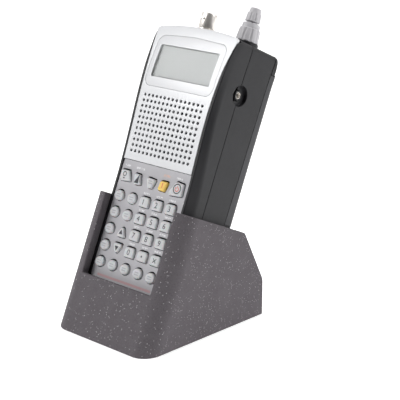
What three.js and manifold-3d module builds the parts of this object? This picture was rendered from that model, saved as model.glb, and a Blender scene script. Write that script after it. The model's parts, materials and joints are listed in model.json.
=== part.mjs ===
// Hand-held scanning receiver, leaning back in a printed desk stand.
// Model frame: +X to the viewer's right, +Y to the back, +Z up, origin on the desk under the middle
// of the stand. Most pieces are drawn in the receiver's own frame, which stands on its bottom end:
// x to the right, y from the key tops to the back, z up along the receiver.
import * as THREE from 'three';
import { mergeVertices } from 'three/addons/utils/BufferGeometryUtils.js';
import Module from 'manifold-3d';

const wasm = await Module();
wasm.setup();

// ---------------------------------------------------------------- driving dimensions, in mm
const LEAN = 24.33;              // degrees that the receiver leans back
const RECEIVER_Y = -37.1;        // the receiver frame's origin in the model frame
const RECEIVER_Z = 10.33;
const GAP = 0.3;                 // between pieces that touch
const WALL = 2;                  // case walls

const CASE_HALF = 31;            // half width of the case at its ridge
const CASE_FLARE = 0.7;          // how much wider it is at the top end
const CASE_BACK = 42.6;          // depth from the key plane to the battery door
const CASE_ROUND = 3.4;          // rounding of the two long back edges
const CASE_LOW = 14;             // bottom end
const CASE_TOP = 172.6;          // top end, at the crest of its arch
const CASE_ARCH = 2.4;           // how far the arch drops to the sides
const ROOM_TOP = 168.2;          // top of the space inside
const FAR = 60;                  // beyond the receiver, for cutting blocks
const SPLIT_Y = 14.5;            // parting plane between front and rear case
const FLOOR_Y = 22.4;            // the rear case's inner floor, behind the boards
const TRAY = { y: 23.9, low: 79.5, top: 139.5 };  // the cells lie in this tray
const DOOR_LOW_Y = 34.6;         // front edge of the battery door's sides, at its lower end
const DOOR_TOP_Y = 36.2;         // and at its upper end
const DOOR_LOW = 69.8;
const DOOR_TOP = 159.5;

const PLATE_HALF = 26.85;        // half width of the keypad plate and the lower face
const PLATE_Y = 0.7;             // surface of the keypad plate
const PLATE_THICK = 1.8;
const PLATE_TOP = 91;            // the light face starts here
const FACE_TOP = 173;            // crest of the face's arched top edge
const FACE_SHOULDER = 169;       // its top corners start here
const FACE_THICK = 2;
const SEAT_Y = 3.6;              // depth of the opening that holds the face and the keypad plate

const KEY_PITCH_X = 10.3;
const KEY_PITCH_Z = 9.9;
const KEY_MIDDLE_X = -1.4;       // the block of keys sits left of the middle
const KEY_TOP_ROW_Z = 69.45;     // upper row of the 5 by 5 block
const KEY_TOP_Y = -0.7;          // the key tops stand proud of the plate
const KEY_DEPTH = 3.8;
const CROWN_ROW_Z = 81.3;        // the row of shaped keys above the block
const KEY_TRAVEL = 1;
const KEY_EDGE = 0.45;           // bevel on the key top

const HOLE_PITCH_X = 3.22;       // speaker grille
const HOLE_PITCH_Z = 3.3;
const HOLE_COLUMNS = 15;
const HOLE_ROWS = 11;
const HOLE_RADIUS = 0.9;
const GRILLE_Z = 112.9;
const SPEAKER_TILT = 4;          // degrees, to follow the swell of the face

const BEZEL = { half: 26.5, low: 134.9, top: 166.8, arch: 1.4, radius: 5, thick: 1.2 };
const DISPLAY = { half: 22.8, low: 140.5, top: 160, tilt: 4 };

const SOCKET_X = -10.6;          // aerial socket and knobs stand on the top end
const KNOB_X = 22.3;
const TOP_PARTS_Y = 18;
const KNOB_LOW = 172.6;          // foot of the squelch knob's skirt
const KNOB_BOSS = { radius: 7, top: 172.4 };
const SOCKET_TOP = 185.4;
const JACK_Z = 141.5;            // headphone jack, in the side
const JACK_Y = 15.9;

const CELL_RADIUS = 7.1;         // AA cells
const CELL_LOW = 84;
const CELL_LENGTH = 50.5;
const CELL_PITCH = 14.5;
const CELL_Y = 31;
const SCREW_X = 24;              // case screws, under the door
const SCREW_Z = 149;

const STAND_HALF = 38.35;
const STAND_FRONT_Y = -5.6;      // in the receiver's frame: the stand's front is parallel to the keys
const STAND_TOP = 69;            // top of the arms, along the receiver
const STAND_LIP = 21;            // top of the front lip
const STAND_ROUND = 10.6;        // rounding of the two front corners
const STAND_SHOULDER_Y = 45.8;   // back edge of its top
const STAND_BACK_Y = 49.1;       // in the model frame
const STAND_BACK_Z = 22.3;
const WINDOW_HALF = 27.75;       // half width of the cut-out in front of the keys

// ---------------------------------------------------------------- frames and solids
const receiver = new THREE.Group();
receiver.position.set(0, RECEIVER_Y, RECEIVER_Z);
receiver.rotation.x = THREE.MathUtils.degToRad(-LEAN);
receiver.updateMatrixWorld();

const group = new THREE.Group();
group.add(receiver);

const alongX = new THREE.Matrix4().makeBasis(
  new THREE.Vector3(0, 1, 0), new THREE.Vector3(0, 0, 1), new THREE.Vector3(1, 0, 0));
const alongY = new THREE.Matrix4().makeBasis(
  new THREE.Vector3(1, 0, 0), new THREE.Vector3(0, 0, 1), new THREE.Vector3(0, -1, 0));

function shapeOf(points) {
  return new THREE.Shape(points.map(([a, b]) => new THREE.Vector2(a, b)));
}

// A prism along z from an (x, y) outline.
function prismZ(points, low, high) {
  const depth = high - low;
  return new THREE.ExtrudeGeometry(shapeOf(points), { depth, bevelEnabled: false }).translate(0, 0, low);
}

// A prism along y from an (x, z) outline, with holes if there are any.
function prismY(points, low, high, holes = []) {
  const shape = shapeOf(points);
  shape.holes = holes.map(shapeOf);
  const prism = new THREE.ExtrudeGeometry(shape, { depth: high - low, bevelEnabled: false });
  return prism.applyMatrix4(alongY).translate(0, high, 0);
}

// A prism along x from a (y, z) outline.
function prismX(points, low, high) {
  const prism = new THREE.ExtrudeGeometry(shapeOf(points), { depth: high - low, bevelEnabled: false });
  return prism.applyMatrix4(alongX).translate(low, 0, 0);
}

function box(x0, x1, y0, y1, z0, z1) {
  const geometry = new THREE.BoxGeometry(x1 - x0, y1 - y0, z1 - z0);
  return geometry.translate((x0 + x1) / 2, (y0 + y1) / 2, (z0 + z1) / 2);
}

// A turned piece about a line along z: the profile lists (radius, z) from bottom to top.
function turned(profile, x, y, sides = 24) {
  const points = profile.map(([r, z]) => new THREE.Vector2(r, z));
  return new THREE.LatheGeometry(points, sides).rotateX(Math.PI / 2).translate(x, y, 0);
}

// A tube about a line along z, as a closed profile.
function tubeZ(inner, outer, low, high, x, y, sides = 24) {
  return turned([[inner, low], [outer, low], [outer, high], [inner, high], [inner, low]], x, y, sides);
}

// Rounds the corners of an outline: each corner is (a, b) with its own radius, or the common one.
function rounded(corners, radius, steps = 2) {
  const count = corners.length;
  return corners.flatMap(([a, b, own = radius], i) => {
    if (own === 0) return [[a, b]];
    const corner = new THREE.Vector2(a, b);
    const before = new THREE.Vector2(...corners[(i + count - 1) % count].slice(0, 2)).sub(corner).normalize();
    const after = new THREE.Vector2(...corners[(i + 1) % count].slice(0, 2)).sub(corner).normalize();
    const half = Math.acos(before.dot(after)) / 2;
    const start = corner.clone().addScaledVector(before, own / Math.tan(half));
    const towards = before.clone().add(after).normalize();
    const centre = corner.clone().addScaledVector(towards, own / Math.sin(half));
    const sweep = (Math.PI - 2 * half) * -Math.sign(before.cross(after));
    return Array.from({ length: steps + 1 }, (_, k) => {
      const point = start.clone().rotateAround(centre, (sweep * k) / steps);
      return [point.x, point.y];
    });
  });
}

function rectangle(x0, x1, z0, z1, radius, steps) {
  return rounded([[x0, z0], [x1, z0], [x1, z1], [x0, z1]], radius, steps);
}

function ellipse(halfX, halfZ, sides) {
  return Array.from({ length: sides }, (_, i) => {
    const turn = (i / sides) * 2 * Math.PI;
    return [halfX * Math.cos(turn), halfZ * Math.sin(turn)];
  });
}

function solid(geometry) {
  const plain = geometry.clone();
  plain.deleteAttribute('normal');
  plain.deleteAttribute('uv');
  const merged = mergeVertices(plain, 1e-4);
  return new wasm.Manifold(new wasm.Mesh({
    numProp: 3,
    vertProperties: new Float32Array(merged.attributes.position.array),
    triVerts: new Uint32Array(merged.index.array),
  }));
}

function geometryOf(manifold) {
  const mesh = manifold.getMesh();
  const geometry = new THREE.BufferGeometry();
  geometry.setAttribute('position', new THREE.BufferAttribute(mesh.vertProperties, 3));
  geometry.setIndex(new THREE.BufferAttribute(mesh.triVerts, 1));
  geometry.computeVertexNormals();
  return geometry;
}

function cut(whole, ...tools) {
  return tools.reduce((left, tool) => left.subtract(solid(tool)), whole);
}

function joined(...pieces) {
  return pieces.map(solid).reduce((sum, piece) => sum.add(piece));
}

const material = {
  printed: { color: 0x5d5a5e, roughness: 0.85, metalness: 0 },
  case: { color: 0x2b2b2e, roughness: 0.45, metalness: 0 },
  face: { color: 0xe6e7ea, roughness: 0.35, metalness: 0.1 },
  plate: { color: 0xa09fa4, roughness: 0.5, metalness: 0.1 },
  bezel: { color: 0xdcdde0, roughness: 0.3, metalness: 0.1 },
  lens: { color: 0xe8eeee, roughness: 0.05, metalness: 0 },
  lcd: { color: 0xb9c2bd, roughness: 0.3, metalness: 0 },
  key: { color: 0xd2d4d6, roughness: 0.5, metalness: 0 },
  yellowKey: { color: 0xe0b430, roughness: 0.5, metalness: 0 },
  knob: { color: 0x77767a, roughness: 0.5, metalness: 0 },
  nickel: { color: 0xc9c4ba, roughness: 0.2, metalness: 1 },
  brass: { color: 0xc09a4a, roughness: 0.3, metalness: 1 },
  steel: { color: 0x9a9a9c, roughness: 0.35, metalness: 1 },
  board: { color: 0x1f5a36, roughness: 0.6, metalness: 0 },
  rubber: { color: 0x3c3c3e, roughness: 0.8, metalness: 0 },
  insulator: { color: 0xf2efe6, roughness: 0.5, metalness: 0 },
  black: { color: 0x161618, roughness: 0.5, metalness: 0 },
  cell: { color: 0x4a5a78, roughness: 0.35, metalness: 0.3 },
};

function place(name, geometry, finish, parent = receiver) {
  const mesh = new THREE.Mesh(geometry, new THREE.MeshStandardMaterial(material[finish]));
  mesh.name = name;
  parent.add(mesh);
  return mesh;
}

// ---------------------------------------------------------------- outer shape of the receiver
// How far the light face stands in front of the key tops at its edges: it swells over the
// loudspeaker and leans back again past the display.
function faceRise(z) {
  const swell = THREE.MathUtils.smoothstep(z, 78, 134);
  return -0.2 + 2.65 * swell - 0.0032 * Math.max(0, z - 138) ** 2;
}

// The face is also crowned across its width.
function crown(x, z) {
  return 0.8 * THREE.MathUtils.smoothstep(z, 86, 108) * (1 - (x / 27) ** 2);
}

// The face widens towards the top end.
function faceHalf(z) {
  const flare = 1.1 * THREE.MathUtils.smoothstep(z, 148, 170);
  return PLATE_HALF + 2.5 * (Math.max(0, z - 110) / 50) ** 1.55 + flare;
}

function caseHalf(z) {
  return CASE_HALF + CASE_FLARE * THREE.MathUtils.smoothstep(z, 150, 170);
}

// Height of an arched top edge at x, for its crest and its drop at the sides.
function arched(crest, drop, x) {
  return crest - drop * (x / CASE_HALF) ** 2;
}

// Front edge of the battery door's sides, which leans a little.
function doorEdgeY(z) {
  return THREE.MathUtils.mapLinear(z, DOOR_LOW, DOOR_TOP, DOOR_LOW_Y, DOOR_TOP_Y);
}

// Depth of the case's widest line, which the front bevel runs to.
function ridgeY(z) {
  return 7.3 - 5.9 * THREE.MathUtils.smoothstep(z, 70, 132) + 0.0035 * Math.max(0, z - 136) ** 2;
}

function caseSection(z) {
  const half = caseHalf(z);
  const rim = Math.min(faceHalf(z) + 2, half - 0.4);
  const right = [[rim, -faceRise(z)], [half, ridgeY(z)], [half, CASE_BACK - CASE_ROUND]];
  for (const turn of [30, 60, 90].map(THREE.MathUtils.degToRad)) {
    right.push([half - CASE_ROUND * (1 - Math.cos(turn)), CASE_BACK - CASE_ROUND * (1 - Math.sin(turn))]);
  }
  return [...right, ...right.map(([x, y]) => [-x, y]).reverse()];
}

// A closed skin over equal outlines stacked along z.
function loft(sections, heights) {
  const count = sections[0].length;
  const positions = sections.flatMap((section, i) => section.flatMap(([x, y]) => [x, y, heights[i]]));
  const index = [];
  for (let i = 0; i + 1 < sections.length; i++) {
    for (let j = 0; j < count; j++) {
      const a = i * count + j;
      const b = i * count + ((j + 1) % count);
      index.push(a, b, b + count, a, b + count, a + count);
    }
  }
  const last = (sections.length - 1) * count;
  for (let j = 1; j + 1 < count; j++) {
    index.push(0, j + 1, j, last, last + j, last + j + 1);
  }
  const geometry = new THREE.BufferGeometry();
  geometry.setAttribute('position', new THREE.Float32BufferAttribute(positions, 3));
  geometry.setIndex(index);
  return geometry;
}

function outerCase() {
  const heights = [CASE_LOW - 1, 70, 80, 90, 100, 110, 120, 130, 138, 146, 154, 162, CASE_TOP + 1];
  const skin = solid(loft(heights.map(caseSection), heights));
  const side = solid(prismX([
    [-8, CASE_LOW], [CASE_BACK - 1, CASE_LOW], [CASE_BACK, CASE_LOW + 1], [CASE_BACK, DOOR_TOP + 0.3],
    [39.8, DOOR_TOP + 0.8], [39.4, 165], [37.6, 169.6], [34, CASE_TOP], [-8, CASE_TOP],
  ], -40, 40));
  const half = CASE_HALF + CASE_FLARE;
  const crest = [24, 16, 8, 0, -8, -16, -24].map((x) => [x, arched(CASE_TOP, CASE_ARCH, x), 0]);
  const shoulder = arched(CASE_TOP, CASE_ARCH, half);
  const front = solid(prismY(rounded([
    [-half, CASE_LOW, 2], [half, CASE_LOW, 2], [half, shoulder, 2.6], ...crest, [-half, shoulder, 2.6],
  ], 2, 3), -10, 50));
  return skin.intersect(side).intersect(front);
}

// Outline of the light face, or of its opening when grown by a gap.
function faceOutline(grow, low) {
  const top = (x) => arched(FACE_TOP, CASE_ARCH, x) + grow;
  const right = [low, 112, 122, 132, 142, 150, 156, 162, FACE_SHOULDER].map((z) => [faceHalf(z) + grow, z]);
  const reach = faceHalf(FACE_SHOULDER) + grow;
  const corner = new THREE.QuadraticBezierCurve(
    new THREE.Vector2(reach, FACE_SHOULDER), new THREE.Vector2(reach, top(reach)),
    new THREE.Vector2(reach - 2.8, top(reach - 2.8))).getPoints(4).slice(1).map((p) => [p.x, p.y]);
  right.push(...corner, [22, top(22)], [15, top(15)], [8, top(8)]);
  return [...right, [0, top(0)], ...right.map(([x, z]) => [-x, z]).reverse()];
}

// ---------------------------------------------------------------- case shells
// A low round boss under the knobs stands out of the arched top end.
const knobBoss = turned(
  [[0, ROOM_TOP + 1], [KNOB_BOSS.radius, ROOM_TOP + 1], [KNOB_BOSS.radius, KNOB_BOSS.top], [0, KNOB_BOSS.top]],
  KNOB_X, TOP_PARTS_Y, 24);
const shell = outerCase().add(solid(knobBoss));
const seam = GAP / 2;

// The boss round the headphone jack belongs half to each case.
function sideCylinder(radius, x0, x1, sides = 24) {
  const cylinder = new THREE.CylinderGeometry(radius, radius, x1 - x0, sides);
  return cylinder.rotateZ(Math.PI / 2).translate((x0 + x1) / 2, JACK_Y, JACK_Z);
}

const jackBoss = solid(sideCylinder(8, 26.4, CASE_HALF - 0.2));
const jackCuts = [sideCylinder(6, 28.7, CASE_HALF + 1), sideCylinder(3.3, 20, CASE_HALF + 1)];
const socketHole = turned([[0, 160], [5, 160], [5, 180], [0, 180]], SOCKET_X, TOP_PARTS_Y);
const knobHole = turned([[0, 160], [4.3, 160], [4.3, 180], [0, 180]], KNOB_X, TOP_PARTS_Y);
const inner = CASE_HALF - WALL;

function frontCase() {
  const half = shell.subtract(solid(box(-FAR, FAR, SPLIT_Y - seam, FAR, 0, 200)));
  const opening = prismY([
    [PLATE_HALF + GAP, CASE_LOW + WALL], ...faceOutline(GAP, 95), [-PLATE_HALF - GAP, CASE_LOW + WALL],
  ], -12, SEAT_Y);
  const room = box(-inner, inner, SEAT_Y - 1, 20, CASE_LOW + WALL, ROOM_TOP);
  const hollow = cut(half, opening, room);
  const boss = jackBoss.subtract(solid(box(0, FAR, SPLIT_Y - seam, FAR, 100, 200)));
  return cut(hollow.add(boss), ...jackCuts, socketHole, knobHole);
}

// Everything behind the door's edge, between its two ends, grown by a gap.
function doorBlock(grow) {
  const low = DOOR_LOW - grow;
  const top = DOOR_TOP + grow;
  return prismX([[doorEdgeY(low) - grow, low], [FAR, low], [FAR, top], [doorEdgeY(top) - grow, top]], -FAR, FAR);
}

function rearCase() {
  const half = shell.subtract(solid(box(-FAR, FAR, -FAR, SPLIT_Y + seam, 0, 200)));
  const lowRoom = box(-inner, inner, 0, CASE_BACK - WALL, CASE_LOW + WALL, DOOR_LOW - 3);
  const middleRoom = box(-inner, inner, 0, FLOOR_Y, CASE_LOW + WALL, ROOM_TOP);
  const highRoom = box(-inner, inner, 0, CELL_Y + 1, TRAY.top + 2.5, ROOM_TOP);
  const cellTray = box(-inner, inner, TRAY.y, FAR, TRAY.low, TRAY.top);
  const hollow = cut(half, doorBlock(seam), lowRoom, middleRoom, highRoom, cellTray);
  const boss = jackBoss.subtract(solid(box(0, FAR, -FAR, SPLIT_Y + seam, 100, 200)));
  const screwHoles = [-1, 1].map((side) => {
    const hole = new THREE.CylinderGeometry(1.6, 1.6, 20, 12);
    return hole.translate(side * SCREW_X, doorEdgeY(SCREW_Z), SCREW_Z);
  });
  return cut(hollow.add(boss), ...jackCuts, socketHole, knobHole, ...screwHoles);
}

function batteryDoor() {
  const block = shell.intersect(solid(doorBlock(-seam)));
  const room = box(-inner, inner, 30, CASE_BACK - WALL, DOOR_LOW + WALL, DOOR_TOP - WALL);
  return cut(block, room);
}

place('front_case', geometryOf(frontCase()), 'case');
place('rear_case', geometryOf(rearCase()), 'case');
place('battery_door', geometryOf(batteryDoor()), 'case');

// ---------------------------------------------------------------- light face and its grille
function bezelOutline(grow) {
  const { half, low, top, arch, radius } = BEZEL;
  return rounded([
    [-half - grow, low - grow], [half + grow, low - grow],
    [half + grow, top - arch + grow], [0, top + grow, 60], [-half - grow, top - arch + grow],
  ], radius + grow, 4);
}

// A slab that follows the crowned face, from a depth behind its surface to a deeper one.
function faceSlab(near, deep) {
  const xs = [-31, -26, -20, -13, -6, 0, 6, 13, 20, 26, 31];
  const heights = [90, 95, 100, 105, 110, 115, 120, 125, 130, 136, 142, 148, 154, 160, 166, 174];
  const sections = heights.map((z) => {
    const edge = (depth) => xs.map((x) => [x, depth - faceRise(z) - crown(x, z)]);
    return [...edge(near), ...edge(deep).reverse()];
  });
  const count = sections[0].length;
  const geometry = loft(sections, heights);
  // The end caps of a thin crowned strip are built as quads between its two edges.
  const index = Array.from(geometry.index.array).slice(0, (heights.length - 1) * count * 6);
  const last = (heights.length - 1) * count;
  for (let j = 0; j + 1 < xs.length; j++) {
    const across = count - 1 - j;
    index.push(j, across, across - 1, j, across - 1, j + 1);
    index.push(last + j, last + across - 1, last + across, last + j, last + j + 1, last + across - 1);
  }
  geometry.setIndex(index);
  return solid(geometry);
}

function facePanel() {
  const outline = faceOutline(0, PLATE_TOP + GAP / 2);
  const panel = faceSlab(0, FACE_THICK).intersect(solid(prismY(outline, -12, 20)));
  const holes = [];
  for (let row = 0; row < HOLE_ROWS; row++) {
    for (let column = 0; column < HOLE_COLUMNS; column++) {
      const hole = new THREE.CylinderGeometry(HOLE_RADIUS, HOLE_RADIUS, 16, 4);
      const x = (column - (HOLE_COLUMNS - 1) / 2) * HOLE_PITCH_X;
      const z = GRILLE_Z + (row - (HOLE_ROWS - 1) / 2) * HOLE_PITCH_Z;
      holes.push(solid(hole.translate(x, 0, z)));
    }
  }
  const grille = wasm.Manifold.union(holes);
  return cut(panel, prismY(bezelOutline(GAP / 2), -12, 20)).subtract(grille);
}

const window = rectangle(-DISPLAY.half, DISPLAY.half, DISPLAY.low, DISPLAY.top, 0.8, 2);

function displayBezel() {
  const frame = faceSlab(0, BEZEL.thick).intersect(solid(prismY(bezelOutline(-GAP / 2), -12, 20)));
  return cut(frame, prismY(window, -12, 20));
}

// The glass lies flat behind the crowned bezel, tilted back with it.
const displayMiddle = (DISPLAY.low + DISPLAY.top) / 2;

function tilted(geometry, y) {
  return geometry.rotateX(-THREE.MathUtils.degToRad(DISPLAY.tilt)).translate(0, y, displayMiddle);
}

const lensReach = DISPLAY.half - GAP;
const lensHalf = (DISPLAY.top - DISPLAY.low) / 2 - GAP;
place('face_panel', geometryOf(facePanel()), 'face');
place('display_bezel', geometryOf(displayBezel()), 'bezel');
place('display_lens', tilted(box(-lensReach, lensReach, -0.7, 0, -lensHalf, lensHalf), -0.65), 'lens');
place('lcd_glass', tilted(box(-24.5, 24.5, 0, 2.4, -11.2, 11.2), -0.25), 'lcd');

// ---------------------------------------------------------------- keypad
const SQUARE = rounded([[-3.85, -2.95, 0.9], [3.85, -2.95, 0.9], [3.85, 2.95, 2], [-3.85, 2.95, 2]], 1, 2);
const ROUND = ellipse(3.6, 3, 12);
const UP = rounded([[-3.9, -3.1, 1.1], [3.9, -3.1, 1.1], [0, 4.4, 1.7]], 1, 3);
const DOWN = UP.map(([x, z]) => [-x, -z]);

// The wide keys of the upper row are cut to the shapes of their neighbours.
const CROWN_KEYS = [
  { name: 'light', x: -21.4, outline: rounded([[-3.6, -3.3], [5.4, -2.7], [2.2, 3.3], [-4.4, 3.2]], 1.2) },
  { name: 'search', x: -11.5, outline: rounded([[-1.8, -3.6], [3.7, -3.2], [1.6, 2.6], [-3.6, 2.8]], 1.1) },
  { name: 'mode', x: -0.8, outline: rounded([[-1.5, -3.6], [2, -3.3], [3.7, 1.9], [-4, 2.4]], 1) },
  { name: 'shift', x: 8.8, outline: rounded([[-3.4, -3.1], [2.1, -3.3], [3.6, 2.5], [-2.5, 2.3]], 1.1) },
  { name: 'power', x: 19.9, outline: rounded(
    [[-4.6, -4.2], [4.8, -3.6], [4.4, 3.5], [-1.7, 4.1], [-5.9, -2.3]], 1.2) },
];

const KEY_NAMES = [
  ['function_1', 'function_2', '1', '2', '3'],
  ['function_3', 'function_4', '4', '5', '6'],
  ['function_5', 'up', '7', '8', '9'],
  ['function_6', 'down', '0', 'dot', 'clear'],
  ['function_7', 'function_8', 'function_9', 'function_10', 'function_11'],
];

function keyOutline(name) {
  if (name.startsWith('function')) return ROUND;
  if (name === 'up') return UP;
  if (name === 'down') return DOWN;
  return SQUARE;
}

const keys = KEY_NAMES.flatMap((names, row) => names.map((name, column) => ({
  name,
  x: KEY_MIDDLE_X + (column - 2) * KEY_PITCH_X,
  z: KEY_TOP_ROW_Z - row * KEY_PITCH_Z,
  outline: keyOutline(name),
})));
keys.push(...CROWN_KEYS.map((key) => ({ ...key, z: CROWN_ROW_Z })));

// Each key stands in a well that is a little wider, most of all above it.
function well({ x, z, outline }) {
  const side = 0.45;
  const above = 0.9;
  const below = 0.4;
  const width = Math.max(...outline.map((p) => p[0]));
  const top = Math.max(...outline.map((p) => p[1]));
  const bottom = -Math.min(...outline.map((p) => p[1]));
  return outline.map(([a, b]) => {
    const reach = b > 0 ? (b / top) * (top + above) : (b / bottom) * (bottom + below);
    return [x + (a / width) * (width + side), z + reach];
  });
}

function keypadPlate() {
  const outline = rectangle(-PLATE_HALF, PLATE_HALF, CASE_LOW + WALL + GAP, PLATE_TOP - GAP / 2, 0.8, 1);
  return prismY(outline, PLATE_Y, PLATE_Y + PLATE_THICK, keys.map(well));
}

function keyCap(outline) {
  const cap = new THREE.ExtrudeGeometry(shapeOf(outline), {
    depth: KEY_DEPTH - 2 * KEY_EDGE,
    bevelEnabled: true,
    bevelThickness: KEY_EDGE,
    bevelSize: KEY_EDGE,
    bevelOffset: -KEY_EDGE,
    bevelSegments: 1,
  });
  return cap.applyMatrix4(alongY).translate(0, KEY_DEPTH - KEY_EDGE, 0);
}

place('keypad_plate', keypadPlate(), 'plate');
for (const key of keys) {
  const cap = place(`key_${key.name}`, keyCap(key.outline), key.name === 'shift' ? 'yellowKey' : 'key');
  cap.position.set(key.x, KEY_TOP_Y, key.z);
}

// ---------------------------------------------------------------- inside the case
const matFront = KEY_TOP_Y + KEY_DEPTH + KEY_TRAVEL + GAP;
place('keypad_mat', box(-25.5, 25.5, matFront, matFront + 1, 24, 87), 'rubber');
place('logic_board', box(-27, 27, matFront + 1 + GAP, matFront + 2.9, 18, 91), 'board');
place('rf_board', box(-27.5, 27.5, 17.2, 18.8, 20, 132), 'board');

function inGrille(geometry) {
  return geometry.rotateX(THREE.MathUtils.degToRad(SPEAKER_TILT)).translate(0, 0, GRILLE_Z);
}

function loudspeaker() {
  const profile = [[0, 1.9], [17.5, 1.9], [19, 2.3], [19, 3.6], [9, 8.4], [9, 12.2], [0, 12.2]];
  const points = profile.map(([r, y]) => new THREE.Vector2(r, y));
  return inGrille(new THREE.LatheGeometry(points, 20));
}

place('speaker_cloth', inGrille(box(-25.5, 25.5, 1.1, 1.5, -18, 18)), 'black');
place('loudspeaker', loudspeaker(), 'steel');

// ---------------------------------------------------------------- aerial socket
function aerialSocket() {
  const body = turned([
    [0, 164], [2, 164], [2, 168.5], [4.7, 168.5], [4.7, 175.4], [4.4, 175.8], [4.4, 176.3], [4.8, 176.6],
    [4.8, SOCKET_TOP - 0.4], [4.5, SOCKET_TOP], [4.05, SOCKET_TOP], [4.05, 177.4], [0, 177.4],
  ], SOCKET_X, TOP_PARTS_Y, 20);
  const lugs = [-1, 1].map((side) => {
    const lug = new THREE.CylinderGeometry(0.95, 0.95, 1.5, 12);
    return lug.translate(SOCKET_X, TOP_PARTS_Y + side * 4.95, SOCKET_TOP - 3.6);
  });
  return joined(body, ...lugs);
}

const nutBlank = turned([[0, 172.9], [7, 172.9], [7, 175.2], [0, 175.2]], SOCKET_X, TOP_PARTS_Y, 6);
const nutBore = turned([[0, 170], [5, 170], [5, 180], [0, 180]], SOCKET_X, TOP_PARTS_Y, 20);
place('aerial_socket', geometryOf(aerialSocket()), 'nickel');
place('socket_nut', geometryOf(solid(nutBlank).subtract(solid(nutBore))), 'nickel');
place('socket_insulator', tubeZ(1.1, 2.6, 177.7, SOCKET_TOP - 2.6, SOCKET_X, TOP_PARTS_Y, 20), 'insulator');
const pinTop = SOCKET_TOP - 1.8;
place('socket_contact', turned(
  [[0, 177.7], [0.7, 177.7], [0.7, pinTop], [0, pinTop]], SOCKET_X, TOP_PARTS_Y, 12), 'brass');

// ---------------------------------------------------------------- volume and squelch control
function controlPot() {
  const body = box(KNOB_X - 6, KNOB_X + 6, 12.5, 24.5, 156, 167);
  const bushTop = KNOB_LOW - GAP;
  const bush = turned([[0, 160], [4, 160], [4, bushTop], [0, bushTop]], KNOB_X, TOP_PARTS_Y);
  const bore = turned([[0, 168.2], [3.3, 168.2], [3.3, 180], [0, 180]], KNOB_X, TOP_PARTS_Y);
  return cut(joined(body, bush), bore);
}

function squelchKnob() {
  return turned([
    [1.9, 168.6], [3, 168.6], [3, KNOB_LOW], [6.6, KNOB_LOW], [6, 180.3], [5.2, 180.7], [5, 182.9],
    [4.6, 183.3], [1.9, 183.3], [1.9, 168.6],
  ], KNOB_X, TOP_PARTS_Y, 20);
}

function volumeKnob() {
  return turned([
    [0, 168.6], [1.5, 168.6], [1.5, 184.4], [4.35, 184.4], [4, 189.4], [3.4, 189.8], [3.2, 192], [2.8, 192.3],
    [0, 192.3],
  ], KNOB_X, TOP_PARTS_Y, 20);
}

place('control_pot', geometryOf(controlPot()), 'steel');
place('squelch_knob', squelchKnob(), 'knob');
place('volume_knob', volumeKnob(), 'knob');

// ---------------------------------------------------------------- headphone jack
function headphoneJack() {
  const nose = sideCylinder(2.9, 20, 29.6, 20);
  const body = box(14, 26, JACK_Y - 4, JACK_Y + 4, JACK_Z - 4, JACK_Z + 4);
  const bore = sideCylinder(1.8, 15.5, 40, 16);
  return cut(joined(nose, body), bore);
}

place('headphone_jack', geometryOf(headphoneJack()), 'black');

// ---------------------------------------------------------------- cells, contacts and screws
for (let i = 0; i < 4; i++) {
  const low = CELL_LOW;
  const cell = turned([
    [0, low], [6.9, low], [CELL_RADIUS, low + 0.6], [CELL_RADIUS, low + 48.4], [6.8, low + 49],
    [2.75, low + 49], [2.75, low + CELL_LENGTH], [0, low + CELL_LENGTH],
  ], (i - 1.5) * CELL_PITCH, CELL_Y, 14);
  place(`battery_${i + 1}`, cell, 'cell');
}

// Each contact strip carries four bumps that press on the cells.
function contactStrip(low, high, bumpLow, bumpHigh, wide, narrow) {
  const strip = box(-27.5, 27.5, CELL_Y - 4, CELL_Y + 4, low, high);
  const bumps = Array.from({ length: 4 }, (_, i) => turned(
    [[0, bumpLow], [wide, bumpLow], [narrow, bumpHigh], [0, bumpHigh]], (i - 1.5) * CELL_PITCH, CELL_Y, 10));
  return joined(strip, ...bumps);
}

const cellTop = CELL_LOW + CELL_LENGTH;
place('spring_contacts', geometryOf(contactStrip(79.8, 80.3, 80, CELL_LOW - GAP, 3.6, 2)), 'steel');
place('plate_contacts', geometryOf(contactStrip(138.7, 139.2, cellTop + GAP, 139, 1.5, 2.6)), 'steel');

for (const [name, side] of [['case_screw_left', -1], ['case_screw_right', 1]]) {
  const points = [[0, 0], [2.7, 0], [2.7, 1.6], [1.3, 1.6], [1.3, 12], [0, 12]];
  const screw = new THREE.LatheGeometry(points.map(([r, y]) => new THREE.Vector2(r, -y)).reverse(), 14);
  place(name, screw.translate(side * SCREW_X, doorEdgeY(SCREW_Z) + 1.6, SCREW_Z), 'steel');
}

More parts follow.
